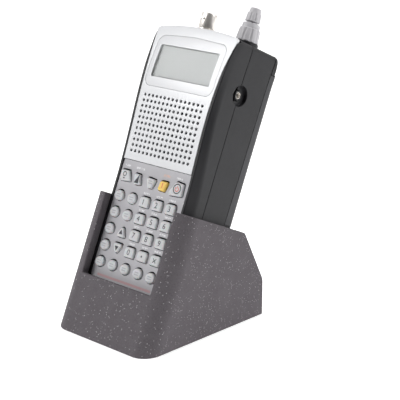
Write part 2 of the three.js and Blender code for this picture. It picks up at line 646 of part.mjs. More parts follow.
// ---------------------------------------------------------------- desk stand
// Drawn in the model frame: a side profile with a flat foot, cut to the receiver's lean in front.
function deskStand() {
  const toModel = (geometry) => geometry.applyMatrix4(receiver.matrixWorld);
  const onTop = (y) => {
    const point = new THREE.Vector3(0, y, STAND_TOP).applyMatrix4(receiver.matrixWorld);
    return [point.y, point.z];
  };
  const [frontY, frontZ] = onTop(-40);
  const profile = rounded([
    [-90, 0, 0], [STAND_BACK_Y, 0, 0], [STAND_BACK_Y, STAND_BACK_Z, 8], [...onTop(STAND_SHOULDER_Y), 3],
    [frontY, frontZ, 0], [-90, frontZ, 0],
  ], 0, 5);
  const sides = solid(prismX(profile, -STAND_HALF, STAND_HALF));
  const column = solid(toModel(prismZ(rounded([
    [-STAND_HALF, STAND_FRONT_Y, STAND_ROUND], [STAND_HALF, STAND_FRONT_Y, STAND_ROUND],
    [STAND_HALF, 150, 0], [-STAND_HALF, 150, 0],
  ], 0, 8), -80, 120)));
  const rim = PLATE_HALF + 2 + GAP;
  const half = CASE_HALF + GAP;
  const back = CASE_BACK + GAP;
  const pocket = toModel(prismZ([
    [rim, -0.4], [half, 7], [half, back - CASE_ROUND], [half - 1, back - 1], [half - CASE_ROUND, back],
    [CASE_ROUND - half, back], [1 - half, back - 1], [-half, back - CASE_ROUND], [-half, 7], [-rim, -0.4],
  ], CASE_LOW - GAP, 120));
  const opening = toModel(prismY(rounded([
    [-WINDOW_HALF, STAND_LIP, 1.5], [WINDOW_HALF, STAND_LIP, 1.5], [WINDOW_HALF, 120, 0],
    [-WINDOW_HALF, 120, 0],
  ], 0, 3), -30, 5));
  return cut(sides.intersect(column), pocket, opening);
}

place('desk_stand', geometryOf(deskStand()), 'printed', group);

export default group;
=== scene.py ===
"""A hand-held scanning receiver in its desk stand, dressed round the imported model."""
import json
import math

import bmesh
import bpy
from mathutils import Matrix, Vector, geometry


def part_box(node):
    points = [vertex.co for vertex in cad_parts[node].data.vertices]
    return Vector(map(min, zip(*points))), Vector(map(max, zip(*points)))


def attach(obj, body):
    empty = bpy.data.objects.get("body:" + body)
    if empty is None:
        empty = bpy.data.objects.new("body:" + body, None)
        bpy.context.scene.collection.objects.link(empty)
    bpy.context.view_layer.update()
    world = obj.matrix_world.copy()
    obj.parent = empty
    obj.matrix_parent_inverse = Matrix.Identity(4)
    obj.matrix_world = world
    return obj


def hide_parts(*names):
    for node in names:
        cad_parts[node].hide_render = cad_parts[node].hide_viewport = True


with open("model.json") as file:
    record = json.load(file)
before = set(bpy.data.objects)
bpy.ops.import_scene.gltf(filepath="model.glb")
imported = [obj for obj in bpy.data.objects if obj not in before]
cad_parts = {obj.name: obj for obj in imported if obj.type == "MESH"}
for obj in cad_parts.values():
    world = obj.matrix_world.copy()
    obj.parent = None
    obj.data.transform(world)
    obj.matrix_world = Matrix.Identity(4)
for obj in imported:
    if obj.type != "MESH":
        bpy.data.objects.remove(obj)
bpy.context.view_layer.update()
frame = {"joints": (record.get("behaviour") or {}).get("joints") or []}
joints = {joint["name"]: joint for joint in frame["joints"]}

# ---------------------------------------------------------------- desk stand
# One printed block: a wedge with a flat foot, cut to the receiver's lean in front, with a pocket
# down its middle and a window before the keys. The filament is a warm dark grey with glitter in it,
# its flakes painted pale as painted glints.
# Sizes are in millimetres, in the receiver's frame: x right, y back from the key tops, z up the case.
UP = Vector(joints["lift_out"]["axis"])
BACK = Vector(joints["door_slide"]["axis"])
KNOB_X, TOP_PARTS_Y, SQUELCH_PIVOT_Z = 22.3, 18.0, 178.0
MM = 0.001
origin = Vector(joints["squelch_turn"]["pos_m"]) - MM * (
    KNOB_X * Vector((1, 0, 0)) + TOP_PARTS_Y * BACK + SQUELCH_PIVOT_Z * UP)
RECEIVER = Matrix.Translation(origin) @ Matrix((
    (1, BACK.x, UP.x), (0, BACK.y, UP.y), (0, BACK.z, UP.z))).to_4x4()


class Signal:
    """A value inside one material. Arithmetic on it adds Math nodes."""

    def __init__(self, finish, socket):
        self.finish, self.socket = finish, socket

    def math(self, operation, *others):
        return self.finish.node("ShaderNodeMath", {"operation": operation}, dict(enumerate((self, *others))))

    def __add__(self, other):
        return self.math("ADD", other)

    def __radd__(self, other):
        return self.math("ADD", other)

    def __sub__(self, other):
        return self.math("SUBTRACT", other)

    def __rsub__(self, other):
        return self.finish.node("ShaderNodeMath", {"operation": "SUBTRACT"}, {0: other, 1: self})

    def __mul__(self, other):
        return self.math("MULTIPLY", other)

    def __rmul__(self, other):
        return self.math("MULTIPLY", other)

    def __truediv__(self, other):
        return self.math("DIVIDE", other)

    def __abs__(self):
        return self.math("ABSOLUTE")

    def __gt__(self, other):
        return self.math("GREATER_THAN", other)

    def __lt__(self, other):
        return self.math("LESS_THAN", other)


class Finish:
    """A procedural material with one Principled shader."""

    def __init__(self, name, **constants):
        self.material = bpy.data.materials.new(name)
        self.material.use_nodes = True
        self.tree = self.material.node_tree
        self.shader = next(n for n in self.tree.nodes if n.type == "BSDF_PRINCIPLED")
        for socket, value in constants.items():
            self.shader.inputs[socket.replace("_", " ")].default_value = value

    def node(self, kind, settings=None, inputs=None, output=0):
        made = self.tree.nodes.new(kind)
        for key, value in (settings or {}).items():
            if key == "stops":
                ramp = made.color_ramp.elements
                while len(ramp) < len(value):
                    ramp.new(0.5)
                for element, (position, colour) in zip(ramp, value):
                    element.position, element.color = position, (*colour, 1)
            else:
                setattr(made, key, value)
        for key, value in (inputs or {}).items():
            self.feed(made.inputs[key], value)
        return Signal(self, made.outputs[output])

    def feed(self, socket, value):
        if isinstance(value, Signal):
            self.tree.links.new(value.socket, socket)
        elif socket.type == "RGBA" and len(value) == 3:
            socket.default_value = (*value, 1)
        else:
            socket.default_value = value

    def set(self, **values):
        for socket, value in values.items():
            self.feed(self.shader.inputs[socket.replace("_", " ")], value)
        return self

    def place(self):
        return self.node("ShaderNodeTexCoord", output="Object")

    def axis(self, which):
        return self.node("ShaderNodeSeparateXYZ", None, {0: self.place()}, output=which)

    def noise(self, size_mm, detail=2.0):
        return self.node("ShaderNodeTexNoise", None, {
            "Vector": self.place(), "Scale": 1 / (size_mm * MM), "Detail": detail})

    def mix(self, share, first, second):
        return self.node("ShaderNodeMix", {"data_type": "RGBA"}, {0: share, 6: first, 7: second}, output=2)

    def bump(self, height, depth_mm, strength=1.0):
        return self.node("ShaderNodeBump", None, {
            "Height": height, "Distance": depth_mm * MM, "Strength": strength})


def shown(name, mesh, finish, body, node=None, matrix=RECEIVER, crease=32, upright=False):
    """Puts a mesh in the scene, riding on its body, in place of its plain node if it has one."""
    if upright:
        mesh.transform(matrix)
        matrix = Matrix()
    piece = bpy.data.objects.new(name, mesh)
    bpy.context.scene.collection.objects.link(piece)
    piece.matrix_world = matrix
    mesh.materials.clear()
    mesh.materials.append(finish.material)
    for polygon in mesh.polygons:
        polygon.use_smooth = True
    mesh.set_sharp_from_angle(angle=math.radians(crease))
    if upright:
        weighted = piece.modifiers.new("normals", "WEIGHTED_NORMAL")
        weighted.keep_sharp, weighted.weight = True, 100
    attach(piece, body)
    if node:
        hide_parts(node)
    return piece


def mesh_of(name, points, faces):
    """A closed mesh from points in millimetres, with its faces pointing out."""
    mesh = bpy.data.meshes.new(name)
    mesh.from_pydata([(x * MM, y * MM, z * MM) for x, y, z in points], [], faces)
    work = bmesh.new()
    work.from_mesh(mesh)
    bmesh.ops.remove_doubles(work, verts=work.verts, dist=1e-7)
    bmesh.ops.recalc_face_normals(work, faces=work.faces)
    work.to_mesh(mesh)
    work.free()
    return mesh


def stacked(name, rings):
    """A closed solid over rings of equal length, each a list of (x, y, z)."""
    count = len(rings[0])
    faces = [tuple(range(count)), tuple(range(len(rings) * count - 1, (len(rings) - 1) * count - 1, -1))]
    for i in range(len(rings) - 1):
        for j in range(count):
            k = (j + 1) % count
            faces.append((i * count + j, (i + 1) * count + j, (i + 1) * count + k, i * count + k))
    return mesh_of(name, [point for ring in rings for point in ring], faces)


def rounded(corners, steps=6):
    """An outline with round corners. Each corner is (a, b, radius)."""
    outline = []
    for i, (a, b, radius) in enumerate(corners):
        corner = Vector((a, b))
        if radius == 0:
            outline.append((a, b))
            continue
        before = (Vector(corners[i - 1][:2]) - corner).normalized()
        after = (Vector(corners[(i + 1) % len(corners)][:2]) - corner).normalized()
        half = before.angle(after) / 2
        start = corner + before * radius / math.tan(half)
        centre = corner + (before + after).normalized() * radius / math.sin(half)
        turn = math.copysign(math.pi - 2 * half, -before.cross(after))
        for k in range(steps + 1):
            outline.append(tuple(centre + Matrix.Rotation(turn * k / steps, 2) @ (start - centre)))
    return outline


def prism(outline, axis, low, high):
    """A prism along an axis. The outline gives the other two coordinates, in x, y, z order."""
    def point(a, b, c):
        return {"x": (c, a, b), "y": (a, c, b), "z": (a, b, c)}[axis]
    return stacked("prism", [[point(a, b, level) for a, b in outline] for level in (low, high)])


def combined(base, *steps):
    """Applies booleans in turn: each step is an operation and a mesh. Returns the new mesh."""
    scene = bpy.context.scene
    piece = bpy.data.objects.new("work", base)
    scene.collection.objects.link(piece)
    helpers = []
    for operation, tool in steps:
        helper = bpy.data.objects.new("tool", tool)
        scene.collection.objects.link(helper)
        helpers.append(helper)
        step = piece.modifiers.new("step", "BOOLEAN")
        step.operation, step.object, step.solver = operation, helper, "EXACT"
    bpy.context.view_layer.update()
    result = bpy.data.meshes.new_from_object(piece.evaluated_get(bpy.context.evaluated_depsgraph_get()))
    for done in (piece, *helpers):
        bpy.data.objects.remove(done)
    return result


def softened(mesh, width, segments=2):
    """Joins flat neighbours into one face and rounds the sharp edges that are left."""
    work = bmesh.new()
    work.from_mesh(mesh)
    bmesh.ops.remove_doubles(work, verts=work.verts, dist=2e-6)
    bmesh.ops.dissolve_limit(work, angle_limit=math.radians(0.15), verts=work.verts, edges=work.edges)
    work.to_mesh(mesh)
    work.free()
    piece = bpy.data.objects.new("work", mesh)
    bpy.context.scene.collection.objects.link(piece)
    bevel = piece.modifiers.new("edges", "BEVEL")
    bevel.width, bevel.segments, bevel.angle_limit = width * MM, segments, math.radians(28)
    bevel.use_clamp_overlap = False
    bpy.context.view_layer.update()
    result = bpy.data.meshes.new_from_object(piece.evaluated_get(bpy.context.evaluated_depsgraph_get()))
    bpy.data.objects.remove(piece)
    return result


def printed_plastic():
    finish = Finish("printed_plastic", Specular_IOR_Level=0.4)
    grain = finish.noise(0.5, 4)
    mottle = finish.noise(7, 3)
    flake = finish.node("ShaderNodeTexVoronoi", None, {
        "Vector": finish.place(), "Scale": 1 / (0.55 * MM)}, output="Color")
    chance = finish.node("ShaderNodeSeparateXYZ", None, {0: flake}, output=0)
    core = finish.node("ShaderNodeTexVoronoi", None, {
        "Vector": finish.place(), "Scale": 1 / (0.55 * MM)}, output="Distance") < 0.34
    # The glitter flakes are real, but their pale colour is a painted glint; they are also made glossier.
    painted_glint_flakes = (chance > 0.955) * core
    dim = (chance < 0.14) * core
    shade = finish.mix(grain * 0.7 + mottle * 0.3, (0.060, 0.052, 0.058), (0.158, 0.144, 0.157))
    shade = finish.mix(dim * 0.5, shade, (0.035, 0.031, 0.034))
    shade = finish.mix(painted_glint_flakes * 0.85, shade, (0.75, 0.73, 0.74))
    layer = finish.node("ShaderNodeTexWave", {"bands_direction": "Z"}, {
        "Vector": finish.place(), "Scale": 1 / (0.4 * MM) / (2 * math.pi) * 2, "Distortion": 0.4})
    height = layer * 0.35 + grain * 0.65
    return finish.set(Base_Color=shade, Roughness=0.86 - painted_glint_flakes * 0.5, Normal=finish.bump(height, 0.07, 0.8))


STAND_HALF = 38.35
STAND_FRONT_Y = -5.6
STAND_TOP = 69.0
WINDOW_HALF, WINDOW_LOW = 27.75, 21.0
CASE_HALF, CASE_BACK, BACK_ROUND = 31.0, 42.6, 3.4
GAP = 0.3
to_receiver = RECEIVER.inverted()


def model_y_z(y, z):
    """A point of the receiver's frame, in the model's y and z, in millimetres."""
    point = RECEIVER @ Vector((0, y * MM, z * MM))
    return point.y / MM, point.z / MM


def back_corner(half, back):
    """The rounding of one long back edge, from the side round to the back."""
    turns = [k * math.pi / 16 for k in range(9)]
    return [(half - BACK_ROUND * (1 - math.cos(t)), back - BACK_ROUND * (1 - math.sin(t))) for t in turns]


def stand_mesh():
    back_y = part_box("desk_stand")[1].y / MM
    front_y, front_z = model_y_z(-40, STAND_TOP)
    profile = rounded([
        (-90, 0, 0), (back_y, 0, 0), (back_y, 22.3, 8), (*model_y_z(45.8, STAND_TOP), 3),
        (front_y, front_z, 0), (-90, front_z, 0)], 10)
    block = prism(profile, "x", -STAND_HALF, STAND_HALF)
    block.transform(to_receiver)
    column = prism(rounded([
        (-STAND_HALF, STAND_FRONT_Y, 10.6), (STAND_HALF, STAND_FRONT_Y, 10.6),
        (STAND_HALF, 150, 0), (-STAND_HALF, 150, 0)], 24), "z", -80, 120)
    rim, half, back = 29.15, CASE_HALF + GAP, CASE_BACK + GAP
    right = [(rim, -0.4), (half, 7), *back_corner(half, back)]
    pocket = prism([*right, *((-x, y) for x, y in reversed(right))], "z", 13.7, 120)
    window = prism(rounded([
        (-WINDOW_HALF, WINDOW_LOW, 1.5), (WINDOW_HALF, WINDOW_LOW, 1.5),
        (WINDOW_HALF, 120, 0), (-WINDOW_HALF, 120, 0)], 5), "y", -30, 5)
    block = combined(block, ("INTERSECT", column), ("DIFFERENCE", pocket), ("DIFFERENCE", window))
    return softened(block, 0.6, segments=3)


stand = shown("printed_stand", stand_mesh(), printed_plastic(), "stand", "desk_stand", upright=True)

# ---------------------------------------------------------------- front and rear case
# Two moulded shells of charcoal plastic that meet at a parting line down the sides, with a satin,
# finely etched skin. A long bevel runs from the widest line of the case to the rim of the face.
CASE_LOW, CASE_TOP, CASE_ARCH = 14.0, 172.6, 2.4
ROOM_TOP = 168.2
WALL = 2.0
SPLIT_Y = 14.5
PLATE_HALF = 26.85
JACK_Y, JACK_Z = 15.9, 141.5
SOCKET_X = -10.6
inner = CASE_HALF - WALL


def smoothstep(value, low, high):
    t = min(1, max(0, (value - low) / (high - low)))
    return t * t * (3 - 2 * t)


def face_rise(z):
    """The face swells over the loudspeaker and leans back again past the display."""
    return -0.2 + 2.65 * smoothstep(z, 78, 134) - 0.0032 * max(0, z - 138) ** 2


def crown(x, z):
    return 0.8 * smoothstep(z, 86, 108) * (1 - (x / 27) ** 2)


def face_half(z):
    return PLATE_HALF + 2.5 * (max(0, z - 110) / 50) ** 1.55 + 1.1 * smoothstep(z, 148, 170)


def case_half(z):
    return CASE_HALF + 0.7 * smoothstep(z, 150, 170)


def arched(crest, x):
    return crest - CASE_ARCH * (x / CASE_HALF) ** 2


def door_edge_y(z):
    """The battery door's side edges lean a little."""
    return 34.6 + 1.6 * (z - DOOR_LOW) / (DOOR_TOP - DOOR_LOW)


def ridge_y(z):
    return 7.3 - 5.9 * smoothstep(z, 70, 132) + 0.0035 * max(0, z - 136) ** 2


def bend(start, corner, end, steps):
    """Points of a curve that leaves start towards corner and arrives at end."""
    return [tuple(
        (1 - t) ** 2 * a + 2 * t * (1 - t) * b + t * t * c for a, b, c in zip(start, corner, end))
        for t in (k / steps for k in range(steps + 1))]


def case_section(z):
    half = case_half(z)
    rim = min(face_half(z) + 2, half - 0.4)
    front, ridge = -face_rise(z), ridge_y(z)
    slope = ((half - rim) / (ridge - front))
    right = [
        *bend((rim - 0.5, front), (rim, front), (rim + 0.5 * slope, front + 0.5), 3),
        *bend((half - 1.5 * slope, ridge - 1.5), (half, ridge), (half, ridge + 1.5), 4),
        (half, SPLIT_Y), *back_corner(half, CASE_BACK)]
    return [(x, y, z) for x, y in right] + [(-x, y, z) for x, y in reversed(right)]


def arc(centre_a, centre_b, radius, start, end, steps):
    turns = (math.radians(start + (end - start) * k / steps) for k in range(steps + 1))
    return [(centre_a + radius * math.cos(t), centre_b + radius * math.sin(t)) for t in turns]


def case_block():
    heights = [CASE_LOW - 1, 40, 68] + [72 + 4 * k for k in range(25)] + [CASE_TOP + 1]
    skin = stacked("case", [case_section(z) for z in heights])
    side = prism([
        (-8, CASE_LOW), *arc(CASE_BACK - 1.4, CASE_LOW + 1.4, 1.4, -90, 0, 4), (CASE_BACK, 159.8),
        *bend((39.8, 160.4), (39.7, 172), (33, CASE_TOP), 8), (-8, CASE_TOP)], "x", -40, 40)
    half = case_half(CASE_TOP)
    shoulder = arched(CASE_TOP, half)
    crest = [(24 - 3 * k, arched(CASE_TOP, 24 - 3 * k), 0) for k in range(17)]
    front = prism(rounded([
        (-half, CASE_LOW, 2), (half, CASE_LOW, 2), (half, shoulder, 2.6), *crest,
        (-half, shoulder, 2.6)], 7), "y", -10, 50)
    boss = round_hole(7, KNOB_X, TOP_PARTS_Y, ROOM_TOP + 1, 172.4, 64)
    return combined(skin, ("INTERSECT", side), ("INTERSECT", front), ("UNION", boss))


def block(x0, x1, y0, y1, z0, z1):
    return prism([(x0, y0), (x1, y0), (x1, y1), (x0, y1)], "z", z0, z1)


FACE_TOP, SHOULDER = 173.0, 169.0


def face_outline(grow, low):
    """Outline of the light face, or of the opening that holds it when grown."""
    def top(x):
        return arched(FACE_TOP, x) + grow
    reach = face_half(SHOULDER) + grow
    rise = [low] + [112 + (SHOULDER - 112) * k / 10 for k in range(11)]
    right = [(face_half(z) + grow, z) for z in rise]
    right += bend((reach, SHOULDER), (reach, top(reach)), (reach - 2.8, top(reach - 2.8)), 8)[1:]
    right += [(x, top(x)) for x in (24, 20, 16, 12, 8, 4)]
    return right + [(0, top(0))] + [(-x, z) for x, z in reversed(right)]


def round_hole(radius, x, y, low, high, sides=40):
    return prism(arc(x, y, radius, 0, 360 - 360 / sides, sides - 1), "z", low, high)


def side_round(radius, x0, x1):
    sides = 48
    return prism(arc(JACK_Y, JACK_Z, radius, 0, 360 - 360 / sides, sides - 1), "x", x0, x1)


def case_plastic(name, low, high):
    finish = Finish(name, Specular_IOR_Level=0.38)
    etch = finish.noise(0.16, 3)
    cloud = finish.noise(11, 3)
    wear = finish.noise(2.2, 5)
    shade = finish.mix(cloud * 0.6 + etch * 0.4, low, high)
    return finish.set(
        Base_Color=shade, Roughness=0.40 + wear * 0.14, Normal=finish.bump(etch, 0.025, 0.5))


charcoal = case_plastic("case_plastic", (0.008, 0.0079, 0.0094), (0.018, 0.0178, 0.0205))
# The door gets a lighter copy of the case plastic: painted light for the brighter back panel.
lit_door_charcoal = case_plastic("lit_door_plastic", (0.034, 0.0336, 0.037), (0.056, 0.0555, 0.060))
shell = case_block()
seat_y = 3.6
SEAM = 0.12


def front_case_mesh():
    opening = prism([
        (PLATE_HALF + GAP, CASE_LOW + WALL), *face_outline(GAP, 95), (-PLATE_HALF - GAP, CASE_LOW + WALL)],
        "y", -12, seat_y)
    return combined(
        shell.copy(),
        ("DIFFERENCE", block(-50, 50, SPLIT_Y - SEAM, 60, 0, 200)),
        ("DIFFERENCE", opening),
        ("DIFFERENCE", block(-inner, inner, seat_y - 1, 20, CASE_LOW + WALL, ROOM_TOP)),
        ("UNION", combined(
            side_round(8, 26.4, CASE_HALF - 0.3),
            ("DIFFERENCE", block(0, 50, SPLIT_Y - SEAM, 60, 100, 200)))),
        ("DIFFERENCE", side_round(6, 28.7, 33)),
        ("DIFFERENCE", side_round(3.3, 20, 30)),
        ("DIFFERENCE", round_hole(5, SOCKET_X, TOP_PARTS_Y, 160, 180)),
        ("DIFFERENCE", round_hole(4.3, KNOB_X, TOP_PARTS_Y, 160, 180)))


DOOR_LOW, DOOR_TOP = 69.8, 159.5


def door_block(grow):
    """Everything behind the battery door's edge, between its two ends."""
    low, top = DOOR_LOW + 0.1 - 0.1 * grow, DOOR_TOP + grow
    return prism([(door_edge_y(low) - grow, low), (60, low), (60, top), (door_edge_y(top) - grow, top)],
                 "x", -50, 50)


def rear_case_mesh():
    # The line of the door's edge runs on to the top end as a shallow groove.
    side_groove = combined(
        prism([(door_edge_y(159) - 0.1, 159), (door_edge_y(159) + 0.25, 159), (36.6, 167), (34.6, 171.4),
               (33.0, 173.5), (32.6, 173.5), (34.3, 171.2), (36.25, 166.8)], "x", -50, 50),
        ("DIFFERENCE", block(-CASE_HALF + 0.4, CASE_HALF - 0.4, 20, 50, 150, 169.6)))
    return combined(
        shell.copy(),
        ("DIFFERENCE", block(-50, 50, -20, SPLIT_Y + SEAM, 0, 200)),
        ("DIFFERENCE", door_block(0.1)),
        ("DIFFERENCE", side_groove),
        ("DIFFERENCE", block(-inner, inner, 0, CASE_BACK - WALL, CASE_LOW + WALL, DOOR_LOW - 3)),
        ("DIFFERENCE", block(-inner, inner, 0, 22.4, CASE_LOW + WALL - 0.01, ROOM_TOP)),
        ("DIFFERENCE", block(-inner, inner, 0, 32, 142, ROOM_TOP - 0.01)),
        ("DIFFERENCE", block(-inner, inner, 23.9, 60, 79.5, 139.5)),
        ("UNION", combined(
            side_round(8, 26.4, CASE_HALF - 0.3),
            ("DIFFERENCE", block(0, 50, -20, SPLIT_Y + SEAM, 100, 200)))),
        ("DIFFERENCE", side_round(6, 28.7, 33)),
        ("DIFFERENCE", side_round(3.3, 20, 30)),
        ("DIFFERENCE", round_hole(5, SOCKET_X, TOP_PARTS_Y, 160, 180)),
        ("DIFFERENCE", round_hole(4.3, KNOB_X, TOP_PARTS_Y, 160, 180)))


front = shown("front_shell", softened(front_case_mesh(), 0.22), charcoal, "receiver", "front_case",
              upright=True)
rear = shown("rear_shell", softened(rear_case_mesh(), 0.3), charcoal, "receiver", "rear_case",
             upright=True)

# ---------------------------------------------------------------- light face and display bezel
# A thin moulded face in pale silver paint, crowned over the loudspeaker and pierced by a grid of
# round sound holes. The display bezel is a separate frame set flush in it, with its window.
FACE_THICK = 1.1
PLATE_TOP = 91.0
HOLE_PITCH_X, HOLE_PITCH_Z, HOLE_RADIUS = 3.22, 3.3, 0.92
HOLE_COLUMNS, HOLE_ROWS, GRILLE_Z = 15, 11, 112.9
BEZEL_HALF, BEZEL_LOW, BEZEL_TOP, BEZEL_ARCH = 26.5, 134.9, 166.8, 1.4
WINDOW = (-22.8, 22.8, 140.5, 160.0)


def outward_y(x, z):
    return -face_rise(z) - crown(x, z)


def offset(loop, distance):
    """Moves an anticlockwise outline inwards, or outwards when the distance is negative."""
    moved = []
    for i, point in enumerate(loop):
        here, last, following = (Vector(p) for p in (point, loop[i - 1], loop[(i + 1) % len(loop)]))
        before, after = (here - last).normalized(), (following - here).normalized()
        normal = Vector((-after.y, after.x))
        middle = (Vector((-before.y, before.x)) + normal).normalized()
        moved.append(tuple(here + middle * distance / max(0.5, middle.dot(normal))))
    return moved


def divided(loop, length):
    """Adds points on the long straight stretches of an outline."""
    points = []
    for i, (a, b) in enumerate(loop):
        c, d = loop[(i + 1) % len(loop)]
        parts = max(1, round(math.dist((a, b), (c, d)) / length))
        points += [(a + (c - a) * k / parts, b + (d - b) * k / parts) for k in range(parts)]
    return points


def inside(a, b, loop):
    hit = False
    for i, (c, d) in enumerate(loop):
        e, f = loop[i - 1]
        if (d > b) != (f > b) and a < (e - c) * (b - d) / (f - d) + c:
            hit = not hit
    return hit


def panel(name, outline, holes, surface, thick, edge, spacing):
    """A panel that follows a surface y(x, z), with round edges at its outline and its holes."""
    loops = [divided(outline, spacing), *holes]
    lips = [offset(loop, edge if i == 0 else -edge) for i, loop in enumerate(loops)]
    flat, borders = [], []
    for lip in lips:
        first = len(flat)
        flat += [Vector(point) for point in lip]
        borders += [(first + i, first + (i + 1) % len(lip)) for i in range(len(lip))]
    low_x, high_x = min(p[0] for p in outline), max(p[0] for p in outline)
    low_z, high_z = min(p[1] for p in outline), max(p[1] for p in outline)
    across, along = round((high_x - low_x) / spacing), round((high_z - low_z) / spacing)
    for i in range(1, across):
        for j in range(1, along):
            x, z = low_x + (high_x - low_x) * i / across, low_z + (high_z - low_z) * j / along
            if inside(x, z, offset(lips[0], 0.3)):
                flat.append(Vector((x, z)))
    verts, _, tris, source, _, _ = geometry.delaunay_2d_cdt(flat, borders, [], 1, 1e-5)
    place = {old: new for new, olds in enumerate(source) for old in olds}
    boxes = [(min(p[0] for p in lip), max(p[0] for p in lip), min(p[1] for p in lip), max(p[1] for p in lip))
             for lip in lips[1:]]

    def solid_at(a, b):
        return not any(x0 < a < x1 and z0 < b < z1 and inside(a, b, lip)
                       for (x0, x1, z0, z1), lip in zip(boxes, lips[1:]))

    tris = [t for t in tris if solid_at(sum(verts[i].x for i in t) / 3, sum(verts[i].y for i in t) / 3)]
    count = len(verts)
    points = [(v.x, surface(v.x, v.y), v.y) for v in verts]
    points += [(v.x, surface(v.x, v.y) + thick, v.y) for v in verts]
    faces = [tuple(t) for t in tris] + [tuple(i + count for i in reversed(t)) for t in tris]
    first_lip = 0
    for loop, lip in zip(loops, lips):
        size = len(loop)
        rings = [[place[first_lip + i] for i in range(size)]]
        for share, depth in ((0.38, 0.08), (0.08, 0.38), (0, 1), (0, thick / edge)):
            rings.append(list(range(len(points), len(points) + size)))
            for (a, b), (c, d) in zip(loop, lip):
                x, z = a + (c - a) * share, b + (d - b) * share
                points.append((x, surface(x, z) + depth * edge, z))
        rings.append([place[first_lip + i] + count for i in range(size)])
        for upper, lower in zip(rings, rings[1:]):
            for i in range(size):
                k = (i + 1) % size
                faces.append((upper[i], lower[i], lower[k], upper[k]))
        first_lip += size
    used = sorted({i for face in faces for i in face})
    renumber = {old: new for new, old in enumerate(used)}
    return mesh_of(name, [points[i] for i in used], [tuple(renumber[i] for i in face) for face in faces])


def bezel_outline(grow):
    side, low, top, flat_top = BEZEL_HALF + grow, BEZEL_LOW - grow, BEZEL_TOP + grow, BEZEL_TOP - BEZEL_ARCH
    return rounded([
        (-side, low, 5), (side, low, 5), (side, flat_top + grow, 5), (0, top, 60),
        (-side, flat_top + grow, 5)], 8)


def circle(radius, x, z, sides):
    return [(a, b) for a, b in arc(x, z, radius, 0, 360 - 360 / sides, sides - 1)]


def silver_paint(name, low, high, roughness):
    finish = Finish(name, Coat_Weight=0.25, Coat_Roughness=0.2, Metallic=0.12)
    fleck = finish.noise(0.12, 2)
    drift = finish.noise(16, 2)
    shade = finish.mix(drift * 0.5 + fleck * 0.5, low, high)
    return finish.set(
        Base_Color=shade, Roughness=roughness + fleck * 0.12, Normal=finish.bump(fleck, 0.008, 0.4))


sound_holes = [
    circle(HOLE_RADIUS, (i - (HOLE_COLUMNS - 1) / 2) * HOLE_PITCH_X,
           GRILLE_Z + (j - (HOLE_ROWS - 1) / 2) * HOLE_PITCH_Z, 16)
    for j in range(HOLE_ROWS) for i in range(HOLE_COLUMNS)]
face = shown(
    "light_face", panel(
        "light_face", face_outline(0, PLATE_TOP + 0.1), [*sound_holes, divided(bezel_outline(0.12), 5)],
        outward_y, FACE_THICK, 0.16, 3.0),
    silver_paint("face_silver", (0.64, 0.648, 0.665), (0.73, 0.735, 0.75), 0.34), "receiver", "face_panel")
window = rounded([
    (WINDOW[0], WINDOW[2], 0.8), (WINDOW[1], WINDOW[2], 0.8), (WINDOW[1], WINDOW[3], 0.8),
    (WINDOW[0], WINDOW[3], 0.8)], 4)
bezel = shown(
    "display_frame", panel(
        "display_frame", bezel_outline(0), [divided(window, 5)], lambda x, z: outward_y(x, z) + 0.06,
        1.2, 0.16, 3.0),
    silver_paint("bezel_silver", (0.60, 0.605, 0.62), (0.68, 0.685, 0.70), 0.32), "receiver", "display_bezel")

# ---------------------------------------------------------------- display glass
# A clear acrylic lens in the bezel's window, over a reflective liquid-crystal glass that is off:
# pale grey-green, with painted shade in a band round its edges under the window's edge, and the ghosts of its
# segments.
TILT = math.radians(4)
TILTED = RECEIVER @ Matrix.Translation((0, 0, 0.15025)) @ Matrix.Rotation(-TILT, 4, "X")


def lens_plastic():
    finish = Finish("clear_lens", Base_Color=(0.93, 0.96, 0.95, 1), Alpha=0.13, IOR=1.49)
    smear = finish.noise(9, 3)
    return finish.set(Roughness=0.04 + smear * 0.06)


def lcd_film():
    finish = Finish("lcd", Specular_IOR_Level=0.3)
    x, z = finish.axis(0) / MM, finish.axis(2) / MM
    haze = finish.noise(14, 2)
    shade = finish.mix(haze, (0.43, 0.443, 0.442), (0.505, 0.517, 0.515))
    cell_x = (x / 2.9 + 100).math("FRACT")
    cell_z = (z / 4.6 + 100).math("FRACT")
    ghost = (abs(cell_x - 0.5) < 0.36) * (abs(cell_z - 0.5) < 0.38) * (abs(x) < 20.5) * (abs(z) < 7.2)
    shade = finish.mix(ghost * 0.07, shade, (0.30, 0.33, 0.31))
    # Painted shade: a darker band round the edges of the glass, where the window's edge shades it.
    rim = (abs(z) > 8.9).math("MAXIMUM", abs(x) > 22.0)
    shade = finish.mix(rim * 0.6, shade, (0.26, 0.265, 0.26))
    return finish.set(Base_Color=shade, Roughness=0.36 + haze * 0.1)


def plain_box(name, half_x, half_z, near, far, edge):
    outline = rounded([
        (-half_x, -half_z, 0.6), (half_x, -half_z, 0.6), (half_x, half_z, 0.6), (-half_x, half_z, 0.6)], 4)
    inset = offset(outline, edge)
    return stacked(name, [
        [(x, near, z) for x, z in inset], [(x, near + edge, z) for x, z in outline],
        [(x, far - edge, z) for x, z in outline], [(x, far, z) for x, z in inset]])


lens = shown("window_lens", plain_box("window_lens", 22.6, 9.55, -1.35, -0.65, 0.15), lens_plastic(),
             "receiver", "display_lens", matrix=TILTED)
lcd = shown("display_film", plain_box("display_film", 24.5, 11.2, -0.45, 2.0, 0.2), lcd_film(),
            "receiver", "lcd_glass", matrix=TILTED)

